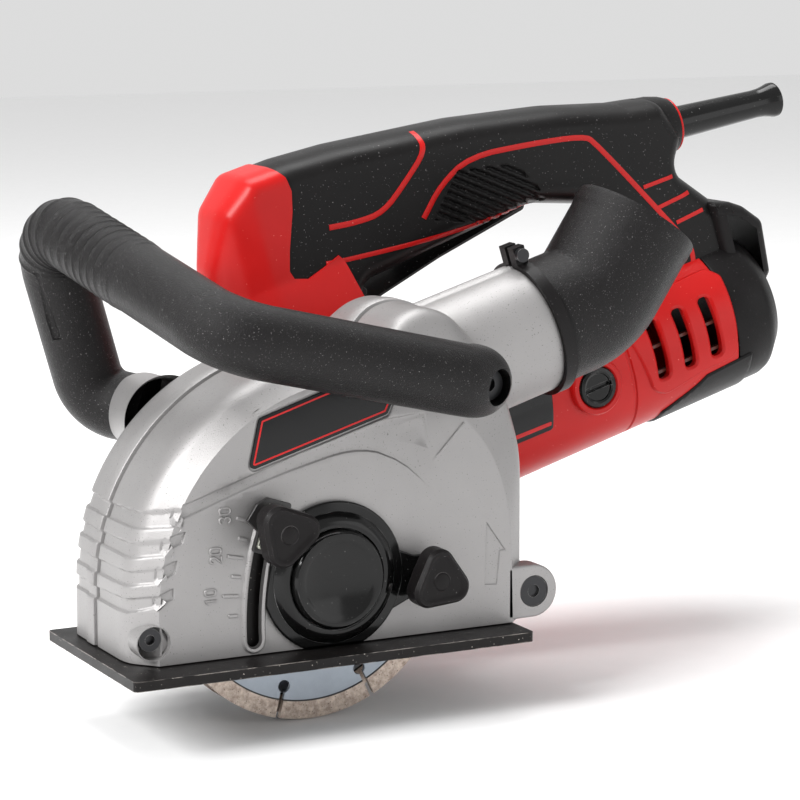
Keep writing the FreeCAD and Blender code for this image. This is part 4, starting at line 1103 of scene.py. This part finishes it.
def build_front_handle():
    """The bow handle: a bent bar with fine ribs, a bolt pocket and a slot in the far leg."""
    corners = [(60, -24.3, 75), (60, -40, 75), (-52.2, -40, 101.6), (-78.3, 88, 137), (-55.5, 91, 58.5),
               (-38, 71.5, 55)]
    line = route(corners, [15.5, 22.0, 20.0, 16.0], step=0.75)
    total = [0.0]
    for a, b in zip(line, line[1:]):
        total.append(total[-1] + (b - a).length)
    near_bend = next(s for s, p in zip(total, line) if p.y > -18)
    far_bend = next(s for s, p in zip(total, line) if p.y > 80 and p.z < 118)
    first_rib = near_bend + (far_bend - near_bend) * 0.36

    def radius(s, angle):
        r = BAR_R
        if first_rib < s < far_bend:
            wave = (s - first_rib) % RIB_PITCH
            r += 0.5 * float(smooth(wave, 0.0, 0.6) * (1 - smooth(wave, 1.1, 1.8)))
        elif s <= first_rib:
            r += 0.25 * float(smooth(s, first_rib - 3.4, first_rib - 2.6))
        return r

    bar = sweep(line, radius, 64)
    made = piece("front_handle_bar", [bar], "tool_body", "black_plastic", ["front_handle"],
                 [MATERIALS["handle_sparkle"]], sharp=40)
    slot = sweep([Vector(p) for p in ((-85.6, 78, 114), (-82.5, 79, 104), (-79.0, 80, 94), (-76.5, 80, 86))],
                 lambda s, a: 2.6, 20)
    pocket = lathe([(0, 0), (7.5, 0), (7.5, 27), (0, 27)], (60, -60, 75), (0, 1, 0), 40)
    cut(made, [pocket])
    cut(made, [slot])
    reshaded(made, 40)


# ---------------------------------------------------------------- rear handle
GRIP = rounded([(24, 20), (27, 104), (38, 128), (53, 139.5), (75, 139.5), (100, 137.5), (160, 129),
                (206, 119),
                (240, 109), (258, 105.5), (266, 86), (257, 72), (277, 48), (277, 20)],
               [8, 20, 12, 8, 30, 60, 90, 90, 16, 8, 8, 8, 8, 8], 8)
WINDOW = rounded([(86, 39.6), (89, 68), (96, 76.5), (183, 81.5), (214, 70), (226, 39.6)],
                 [4, 6, 6, 25, 14, 6], 8)
NOSE_EDGE = [(88.5, 20), (88.5, 66), (84.5, 92), (82.6, 94.8), (75, 92.3), (66.3, 90.1), (60.2, 92.3),
             (59, 96.1),
             (61.6, 104.5), (67.7, 119.9), (69.9, 128.4), (69.1, 134.8), (65.5, 141.2), (64, 150)]
GRIP_HALF, GRIP_ROUND = 19.3, 11.5
GRILLE_PITCH = 3.3
GRILLE = [(129.9, 93.2), (147.4, 111.0), (176.5, 104.0), (189.3, 81.9), (160, 80.3)]


def in_nose(points):
    """Whether each (u, v) belongs to the red nose."""
    return inside(points, NOSE_EDGE + [(0, 150), (0, 20)])


def nose_half(points, away):
    """Half-width of the red nose at each (u, v)."""
    u, v = points[:, 0], points[:, 1]
    lean = u - (v - 20) * 3 / 84
    front = np.interp(lean, [23, 25, 30, 37, 48, 80], [6.5, 8.5, 12.5, 17.0, 19.6, 20.2])
    crown = (1 - np.clip(1 - away / 7.0, 0, 1) ** 2.4) ** 0.45
    skirt = np.interp(v, [58, 62, 88, 91.5], [8.0, 7.0, 1.1, 0.0]) * smooth(u, 30, 42)
    return np.maximum(front * (0.3 + 0.7 * crown) + skirt * crown, 0.12)


def handle_half(points, away):
    """Half-width of the black grip at each (u, v)."""
    u, v = points[:, 0], points[:, 1]
    body = GRIP_HALF * (1 - np.clip(1 - away / GRIP_ROUND, 0, 1) ** 2.5) ** 0.42
    phase = ((u - GRILLE[0][0]) * 0.62 + (v - GRILLE[0][1]) * 0.78) % GRILLE_PITCH
    groove = smooth(phase, 0.0, 0.45) * (1 - smooth(phase, 1.5, 1.95))
    groove = groove * smooth(-signed_distance(points, GRILLE), 0.3, 1.0)
    return np.maximum(body - groove * 1.3, 0.12)


def build_handle():
    """The D handle: a red nose and two black halves over one triangulated outline."""
    points, tris, away = triangulated(
        GRIP, 2.2, [WINDOW], (0.12, 0.4, 0.9, 1.7, 2.8, 4.2, 6.0, 8.2), [NOSE_EDGE],
        [(0.6, offset_loop(GRILLE, 1.0))])
    red = in_nose(points[tris].mean(1))
    nose = nose_half(points, away)
    body = handle_half(points, away)

    def place_at(u, h, v):
        return tool(u, MOTOR_Y + h, v)

    piece("nose", [solid_over(points, tris[red], -nose, nose, place_at)], "tool_body", "red_plastic",
          ["nose_cover"], sharp=50)
    for name, sign, node_name in (("grip_near", -1, "grip_near_half"), ("grip_far", 1, "grip_far_half")):
        piece(name, [solid_over(points, tris[~red], sign * body, np.full(len(points), sign * 0.05),
                                place_at)],
              "tool_body", "black_plastic", [node_name], [MATERIALS["rubber_black"]], sharp=50)


def smooth_line(points, rounds=2):
    """Chaikin corner cutting of an open 2-D line."""
    for _ in range(rounds):
        made = [points[0]]
        for a, b in zip(points, points[1:]):
            made.append((a[0] * 0.75 + b[0] * 0.25, a[1] * 0.75 + b[1] * 0.25))
            made.append((a[0] * 0.25 + b[0] * 0.75, a[1] * 0.25 + b[1] * 0.75))
        made.append(points[-1])
        points = made
    return points


def grip_distance(points):
    """Distance of each (u, v) inside the handle's edges."""
    return np.minimum(-signed_distance(points, GRIP), signed_distance(points, WINDOW))


def ribbon(line, width, side, rise=0.3):
    """A raised strip that lies on the handle's side wall."""
    dense = []
    for a, b in zip(line, line[1:]):
        count = max(1, int(math.dist(a, b) / 1.0))
        dense += [(a[0] + (b[0] - a[0]) * k / count, a[1] + (b[1] - a[1]) * k / count) for k in range(count)]
    dense.append(line[-1])
    path = np.array(dense)
    ahead = np.gradient(path, axis=0)
    ahead /= np.linalg.norm(ahead, axis=1)[:, None]
    normal = np.stack([-ahead[:, 1], ahead[:, 0]], 1)
    rows = []
    for across, lift in ((-0.5, -0.8), (-0.5, rise * 0.7), (-0.3, rise), (0.3, rise), (0.5, rise * 0.7),
                         (0.5, -0.8)):
        spots = path + normal * (across * width)
        half = handle_half(spots, np.maximum(grip_distance(spots), 0.05)) + lift
        rows.append([tool(p[0], MOTOR_Y + side * h, p[1]) for p, h in zip(spots, half)])
    points = [p for row in rows for p in row]
    size, many = len(path), len(rows)
    faces = [[r * size + i, r * size + i + 1, ((r + 1) % many) * size + i + 1, ((r + 1) % many) * size + i]
             for r in range(many) for i in range(size - 1)]
    faces += [[r * size for r in range(many)], [r * size + size - 1 for r in reversed(range(many))]]
    return points, faces


RED_LINES = [
    ([(82.2, 107.5), (95, 105.3), (108.5, 105), (122.5, 114.2), (135, 123.6), (136.0, 131.6)], 2.4),
    ([(126.1, 96), (138, 107), (155, 114.2), (185, 109.6), (212, 104.1), (217, 99.4), (250, 41.5),
      (252, 34.9),
      (250, 26)], 2.4),
    ([(76.3, 93.3), (84.3, 91.7), (130, 85.6), (180.5, 82.2)], 2.0),
    ([(235.3, 71.8), (251.3, 71.5)], 1.8),
    ([(240.3, 60.4), (257.9, 61.5)], 1.8),
    ([(247.5, 50.6), (262.4, 51.6)], 1.8),
]


def build_red_lines():
    """Red lines on the grip, the collar at its end and the cord's sleeve."""
    for side, label in ((-1, "near"), (1, "far")):
        parts = [ribbon(smooth_line(line), width, side) for line, width in RED_LINES]
        piece("grip_lines_" + label, parts, "tool_body", "red_plastic", sharp=40)
    spin = math.radians(-7.1)
    axis = Vector(tool(math.cos(spin), 0, math.sin(spin)))
    start = Vector(tool(265.5, MOTOR_Y, 89.5))
    collar = [(0, -16), (15.5, -16), (15.2, -9), (14.0, -3), (12.6, 0.6), (11.2, 1.6), (9.0, 2.0), (0, 2.0)]
    piece("grip_collar", [lathe(collar, start, axis, 64)], "tool_body", "black_plastic",
          materials=[MATERIALS["rubber_black"]])
    ring = [(11.6 + 0.9 * math.cos(a), 1.2 + 0.9 * math.sin(a)) for a in np.linspace(0, 2 * math.pi, 13)]
    piece("collar_ring", [lathe(ring, start, axis, 64)], "tool_body", "red_plastic")
    sleeve = [(4.0, 1.0), (7.6, 1.0), (7.5, 8), (7.2, 20), (6.8, 36), (6.5, 48), (6.7, 52), (7.5, 56),
              (8.0, 57.5),
              (8.0, 59.6), (7.6, 60), (4.4, 60), (4.0, 59.4), (4.0, 1.0)]
    piece("cord_sleeve", [lathe(sleeve, start, axis, 56)], "tool_body", "gloss_black", ["cable_sleeve"])


def build_trigger():
    """The long paddle under the grip with its pin hole."""
    loop = rounded([(88.6, 77.4), (88.6, 70), (96, 66.3), (134, 73.6), (181, 80.0), (181, 87), (96, 80.5)],
                   [3, 3, 2, 10, 2.5, 2.5, 6], 7)
    paddle = slab(loop, *cad_span("trigger", 1), 1.6, frame_of=tool)
    made = piece("trigger_paddle", [paddle], "trigger", "gloss_black", ["trigger"])
    u, y, v = tool_place("trigger_pull")
    cut(made, [lathe([(0, 0), (2.05, 0), (2.05, 30), (0, 30)], tool(u, y - 15, v), (0, 1, 0), 32)])
    reshaded(made, 35)


# ---------------------------------------------------------------- motor unit
VENT_U, VENT_PITCH = 214, 14.6
BRUSH_U = 177.4
PANEL = rounded([(197.8, 25.4), (209.2, 27.9), (235, 30), (252.4, 30.7), (257.5, 24.4), (253.9, -11.4),
                 (250.0, -15.0), (233.8, -15.3), (213.3, -19.5), (206.0, -14.0)],
                 [5, 20, 20, 6, 4, 4, 4, 20, 8, 10], 7)


def vent(i, grow=0.0):
    """Outline of one cooling slot, enlarged by grow."""
    u = VENT_U + VENT_PITCH * i
    loop = rounded([(u + 3, 18), (u - 3, 18), (u - 4, -10), (u + 2, -10)], 2.5, 6)
    return offset_loop(loop, grow) if grow else loop


def build_motor():
    """The red housing with its seams, vents, raised panels, brush caps and blank labels."""
    profile = [(33.8, 66.0), (35.4, 66.0), (36.4, 67.4), (36.4, 118.6), (35.8, 119.2), (35.8, 120.0),
               (36.4, 120.6),
               (36.4, 196.4), (35.7, 197.0), (35.7, 197.8), (36.4, 198.4), (36.4, 254.2), (35.8, 254.8),
               (33.8, 254.8),
               (33.8, 66.0)]
    dense = []
    for a, b in zip(profile, profile[1:]):
        count = max(1, int(abs(b[1] - a[1]) / 12))
        dense += [(a[0] + (b[0] - a[0]) * k / count, a[1] + (b[1] - a[1]) * k / count) for k in range(count)]
    dense.append(profile[-1])
    shell = lathe(dense, tool(0, MOTOR_Y, 0), tool(1, 0, 0), 120)
    made = piece("motor_shell", [shell], "tool_body", "red_plastic", ["motor_housing"], sharp=28)
    vents = [slab(vent(i), *sorted((MOTOR_Y + side * 24, MOTOR_Y + side * 40)), 0, frame_of=tool)
             for side in (-1, 1) for i in range(3)]
    wells = [lathe([(0, 26), (9.45, 26), (9.45, 42), (0, 42)], tool(BRUSH_U, MOTOR_Y, 0), (0, side, 0), 48)
             for side in (-1, 1)]
    cut(made, vents + wells)
    reshaded(made, 30)
    parts = []
    for side in (-1, 1):
        holes = [vent(i, 0.15) for i in range(3)]
        parts.append(relief(PANEL, lambda p, d: 1.1 * smooth(d, -0.2, 1.1), 3.0, holes, (0.3, 0.7, 1.1, 1.5),
                            lambda u, h, v, s=side: on_housing(u, h, v, side=s)))
        ring = [(9.5, 30), (12.6, 30), (12.6, 38.2), (12.0, 39.0), (10.1, 39.0), (9.5, 38.4), (9.5, 30)]
        parts.append(lathe(ring, tool(BRUSH_U, MOTOR_Y, 0), (0, side, 0), 56))
    piece("motor_panels", parts, "tool_body", "red_plastic", sharp=30)
    slats = []
    for side in (-1, 1):
        for i in range(3):
            u = VENT_U + VENT_PITCH * i
            for k in range(2):
                low = (u - 6, MOTOR_Y + side * 30.0 - 0.5, 4 - 12 * k)
                slats.append(block(low, (u + 5, MOTOR_Y + side * 33.0 + 0.5, 5.4 - 12 * k), tool))
    # The slats take the vents' dark brown painted shade, not the housing's red.
    piece("vent_slats", slats, "tool_body", "red_plastic", materials=[MATERIALS["vent_painted_shade"]])
    caps = []
    for side in (-1, 1):
        cap = [(0, 34.0), (9.3, 34.0), (9.3, 38.6), (8.7, 39.3), (7.3, 39.6), (6.4, 39.2), (6.0, 38.4),
               (0, 38.2)]
        caps.append(lathe(cap, tool(BRUSH_U, MOTOR_Y, 0), (0, side, 0), 56))
    made = piece("brush_cap_pair", caps, "tool_body", "gloss_black", ["brush_caps"], sharp=35)
    cut(made, [block((170.5, y0, -1.1), (184.3, y1, 1.1), tool) for y0, y1 in ((56, 60.2), (133.8, 138))])
    reshaded(made, 35)
    plate = rounded([(129.9, 9.6), (156.4, 8.7), (152.5, -11.1), (130.3, -10.7)], 1.6, 6)
    strip = rounded([(131.6, -6.2), (152.0, -6.8), (151.7, -8.6), (131.6, -8.1)], 0.4, 4)
    tags, lines = [], []
    for side in (-1, 1):
        def spot(u, h, v, s=side):
            return on_housing(u, h, v, side=s)
        tags.append(relief(plate, lambda p, d: 0.35 * smooth(d, -0.1, 0.4), 2.0, (), (0.2, 0.5), spot))
        lines.append(relief(strip, lambda p, d: np.full(len(p), 0.45), 1.5, (), (), spot, 0.1))
    piece("motor_labels", tags, "tool_body", "black_plastic", materials=[MATERIALS["label_black"]])
    piece("motor_label_lines", lines, "tool_body", "red_plastic", materials=[MATERIALS["label_red"]])


def build_rear_cap():
    """The black end cap with its crest and the skirt under the housing."""
    profile = [(0, 255.4), (34.0, 255.4), (35.9, 255.4), (36.4, 256.2), (36.4, 272.5), (35.6, 275.2),
               (29.4, 282.0),
               (27.6, 282.9), (0, 282.9)]
    parts = [lathe(profile, tool(0, MOTOR_Y, 0), tool(1, 0, 0), 96)]
    crest = rounded([(266, 6), (266, 54), (277.2, 50), (283, 46), (291, 36.5), (289, 12), (283, 6)],
                    [1, 2, 3, 5, 6, 4, 2], 7)
    parts.append(slab(crest, 73.5, 120.5, 5.5, frame_of=tool))
    half_turn = [(214, -33.0), (222, -27.5), (231, -22.5), (236.5, -18.5), (262, -16.5), (262, -57.2),
                 (214, -57.2)]
    belly = rounded(half_turn, 1.5, 5)
    for side in (-1, 1):
        parts.append(relief(belly, lambda p, d: 0.9 * smooth(d, -0.3, 0.9), 2.5, (), (0.4, 0.9),
                            lambda u, h, v, s=side: on_housing(u, h, v, side=s), -0.3))
    piece("rear_cap", parts, "tool_body", "black_plastic", ["motor_rear_cap"], sharp=34)


_, DUCT_Y, DUCT_V = tool_place("dust_elbow_swivel")
ELBOW_RISE, ELBOW_BEND_U, ELBOW_REACH = math.radians(39.6), 163.0, 42.5


def build_elbow():
    """The swivelling dust elbow, with a stepped outlet and its neck in the duct."""
    mouth = tool(ELBOW_BEND_U + ELBOW_REACH * math.cos(ELBOW_RISE), DUCT_Y,
                 DUCT_V + ELBOW_REACH * math.sin(ELBOW_RISE))
    line = route([tool(138.2, DUCT_Y, DUCT_V), tool(ELBOW_BEND_U, DUCT_Y, DUCT_V), mouth], [30.0], 1.2)
    length = sum((b - a).length for a, b in zip(line, line[1:]))

    def outer(s, angle):
        r = 27.1
        r += 0.35 * float(smooth(s, length - 7.6, length - 7.0))
        r -= 0.4 * float(smooth(s, length - 0.8, length))
        return r - 0.35 * float(1 - smooth(s, 0.0, 0.8))

    def inner(s, angle):
        return 21.2 + 3.3 * float(smooth(s, length - 21.0, length - 20.0))

    neck = [Vector(tool(112, DUCT_Y, DUCT_V)), Vector(tool(138.4, DUCT_Y, DUCT_V))]
    parts = [pipe_shell(line, outer, inner), pipe_shell(neck, lambda s, a: 24.2, lambda s, a: 21.0)]
    piece("elbow_pipe", parts, "dust_elbow", "black_plastic", ["dust_elbow"], [MATERIALS["handle_sparkle"]],
          sharp=35)


# ---------------------------------------------------------------- near side: cover, knobs and pointer
def build_hub():
    """The black side cover with its arm, collar and cap."""
    reach = SCALE_R - 4.7
    steps = np.linspace(0, 2 * math.pi, 160, endpoint=False)
    loop = []
    for a in steps:
        x, z = 30.5 * math.cos(a), max(30.5 * math.sin(a), -27.6)
        gap = math.hypot(x - PIVOT[0], z - PIVOT[1])
        if gap > reach:
            k = reach / gap
            x, z = PIVOT[0] + (x - PIVOT[0]) * k, PIVOT[1] + (z - PIVOT[1]) * k
        loop.append((x, z))
    arm = rounded([(14, 19), (27, 9), (36, 5.2), (44, 5.2), (49.4, -3.3), (44, -12), (34, -12.3), (14, -21)],
                  [1, 6, 6, 7, 7, 7, 6, 1], 6)
    cover = [slab(loop, -22.6, -20.2, 0.9), slab(arm, -22.4, -20.2, 0.8)]
    collar = [(20.2, -20.4), (26.5, -22.8), (25.2, -24.2), (23.4, -25.6), (21.6, -26.1), (20.5, -25.8),
              (20.2, -25.2), (20.2, -20.4)]
    cover.append(lathe(collar, (0, 0, 0), (0, 1, 0), 96))
    piece("hub_cover_ring", cover, "tool_body", "gloss_black", ["hub_cover"], sharp=36)
    cap = [(0, -27.5), (14.2, -27.5), (15.0, -27.9), (17.4, -28.6), (18.6, -28.5), (19.4, -27.6),
           (19.8, -26.4),
           (19.8, -21.0), (0, -21.0)]
    piece("hub_cap_dish", [lathe(cap, (0, 0, 0), (0, 1, 0), 96)], "tool_body", "gloss_black", ["hub_cap"],
          sharp=40)


STUD_ANGLE = 18.0
WING_REACH, WING_DEPTH = 19.6, 14.5


def wing(name, x, z, spin, body, shank):
    """A three-cornered clamping knob with a rimmed, dished face, where the body's CAD knob is."""
    corners = [(WING_REACH * math.cos(math.radians(a + spin)), WING_REACH * math.sin(math.radians(a + spin)))
               for a in (90, 210, 330)]
    loop = [(x + p[0], z + p[1]) for p in rounded(corners, 6.4, 12)]
    face = cad_span(body, 1)[0]
    seat = face + WING_DEPTH

    def front(away):
        lip = 1.6 * (1 - smooth(away, 0.0, 1.6)) ** 2
        dish = 0.9 * smooth(away, 2.0, 3.6)
        return face + lip + dish

    def back(away):
        return seat - 5.0 - 1.2 * (1 - smooth(away, 0.0, 1.4)) ** 2

    points, tris, away = triangulated(loop, 1.3, (), (0.3, 0.7, 1.2, 1.8, 2.4, 3.0, 3.8))
    head = solid_over(points, tris, front(away), back(away), lambda a, h, b: (a, h, b))
    hub = lathe([(0, seat - 6.0), (7.0, seat - 6.0), (7.0, seat - 0.6), (6.5, seat), (0, seat)],
                (x, 0, z), (0, 1, 0), 48)
    boss = lathe([(0, face + 0.2), (3.0, face + 0.2), (3.6, face + 0.6), (3.8, face + 1.2), (0, face + 1.6)],
                 (x, 0, z), (0, 1, 0), 40)
    piece(name, [head, hub, boss] + shank, body, "knob_black", [body], sharp=40)


def build_knobs():
    """Both wing knobs, the depth pointer and its clamp plate."""
    stud = about_pivot(STUD_ANGLE)
    wing("depth_knob_head", stud[0], stud[1], 40.0, "depth_knob", [])
    screw = joint_place("cover_knob_turn")
    shank = [lathe([(0, -24.4), (2.9, -24.4), (2.9, -16.0), (0, -16.0)], (screw[0], 0, screw[2]), (0, 1, 0),
                   32)]
    wing("cover_knob_head", screw[0], screw[2], 5.0, "cover_knob", shank)
    turn = math.radians(STUD_ANGLE)

    def turned(points):
        return [(stud[0] + p[0] * math.cos(turn) + p[1] * math.sin(turn),
                 stud[1] - p[0] * math.sin(turn) + p[1] * math.cos(turn)) for p in points]

    outline = turned(rounded([(-9, 7.5), (-5.4, 11), (5.6, 11), (5.6, -11), (-5.4, -11), (-5.4, -3),
                              (-11.2, 0)],
                             [0.8, 1.2, 1.2, 1.2, 1.2, 1.0, 0.6], 5))
    guide = turned([(-2.6, 3.1), (2.6, 3.1), (2.6, -3.1), (-2.6, -3.1)])
    piece("pointer_slide", [slab(outline, -25.0, -23.0, 0.45), slab(guide, -23.1, -19.2, 0.2)], "depth_frame",
          "pointer_black", ["depth_pointer"])
    plate = turned(rounded([(-4.6, 9), (4.6, 9), (4.6, -9), (-4.6, -9)], 0.8, 4))
    parts = [slab(plate, -26.6, -25.05, 0.3)]
    for z0, z1 in ((7.7, 9.0), (-9.0, -7.7)):
        parts.append(slab(turned(rounded([(-4.6, z1), (4.6, z1), (4.6, z0), (-4.6, z0)], 0.4, 3)), -27.6,
                          -26.5, 0.35))
    piece("clamp_plate", parts, "depth_frame", "zinc_plate", ["depth_clamp_plate"])


def build_sticker():
    """A blank black sticker with a thin red outline."""
    loop = rounded(STICKER, 2.0, 7)
    black = slab(loop, FLAT_NEAR + 0.42, FLAT_NEAR + 1.1, 0.1, rim_back=0)
    outer, inner = offset_loop(loop, -1.3), offset_loop(loop, -2.0)
    line = slab(outer, FLAT_NEAR + 0.34, FLAT_NEAR + 0.6, 0, [inner])
    piece("guard_sticker", [black], "tool_body", "cast_shell", materials=[MATERIALS["label_black"]])
    piece("guard_sticker_line", [line], "tool_body", "cast_shell", materials=[MATERIALS["label_red"]])


build_front_handle()
build_handle()
build_red_lines()
build_trigger()
build_motor()
build_rear_cap()
build_elbow()
build_hub()
build_knobs()
build_sticker()




# ---------------------------------------------------------------- carried-over CAD nodes
for cad_node in frame["nodes"].values():
    for cad_slot in cad_node.material_slots:
        cad_slot.material = MATERIALS[cad_slot.material.name.split(".")[0]]


# ---------------------------------------------------------------- stage, lights and camera
def add_floor():
    mesh = bpy.data.meshes.new("floor")
    work = bmesh.new()
    bmesh.ops.create_grid(work, x_segments=24, y_segments=24, size=4.0)
    for vertex in work.verts:
        vertex.co.z = cad_low.z - 0.0005
    work.to_mesh(mesh)
    work.free()
    paper = bpy.data.materials.new("studio_paper")
    paper.use_nodes = True
    tree = paper.node_tree
    shader = tree.nodes["Principled BSDF"]
    grain = node(tree, "TexNoise", Scale=90.0, Detail=4.0)
    tree.links.new(node(tree, "TexCoord").outputs["Object"], grain.inputs["Vector"])
    tree.links.new(mix(tree, grain.outputs["Fac"], (0.90, 0.90, 0.90), (0.94, 0.94, 0.94)),
                   shader.inputs["Base Color"])
    shader.inputs["Roughness"].default_value = 0.9
    mesh.materials.append(paper)
    made = bpy.data.objects.new("floor", mesh)
    bpy.context.collection.objects.link(made)


def add_light(name, place_at, aim_at, size, power):
    data = bpy.data.lights.new(name, "AREA")
    data.shape = "RECTANGLE"
    data.size, data.size_y = size
    data.energy = power
    made = bpy.data.objects.new(name, data)
    bpy.context.collection.objects.link(made)
    made.location = place_at
    made.rotation_mode = "QUATERNION"
    made.rotation_quaternion = (Vector(aim_at) - Vector(place_at)).to_track_quat("-Z", "Y")


def add_camera():
    data = bpy.data.cameras.new("photo_camera")
    data.sensor_width = 36.0
    data.lens = 130.5
    data.clip_start, data.clip_end = 0.05, 20.0
    made = bpy.data.objects.new("photo_camera", data)
    bpy.context.collection.objects.link(made)
    azimuth, elevation = math.radians(27.3), math.radians(9.4)
    right = Vector((math.cos(azimuth), -math.sin(azimuth), 0))
    upward = Vector((math.sin(azimuth) * math.sin(elevation), math.cos(azimuth) * math.sin(elevation),
                     math.cos(elevation)))
    back = right.cross(upward)
    made.matrix_world = Matrix.Translation((-0.4894, -1.0274, 0.2559)) @ Matrix(
        (right, upward, back)).transposed().to_4x4()
    bpy.context.scene.camera = made


def add_world():
    world = bpy.data.worlds.new("studio")
    world.use_nodes = True
    world.node_tree.nodes["Background"].inputs["Color"].default_value = (1.0, 1.0, 1.0, 1.0)
    world.node_tree.nodes["Background"].inputs["Strength"].default_value = 0.72
    bpy.context.scene.world = world
    bpy.context.scene.view_settings.view_transform = "Standard"


add_floor()
middle = (0.09, 0.03, 0.05)
add_light("key", (-1.6, -0.35, 1.2), middle, (0.9, 0.9), 46.0)
add_light("fill", (1.3, -1.5, 0.5), middle, (1.2, 1.2), 6.0)
add_light("top", (0.1, 0.5, 1.6), middle, (1.4, 0.8), 22.0)
add_camera()
add_world()
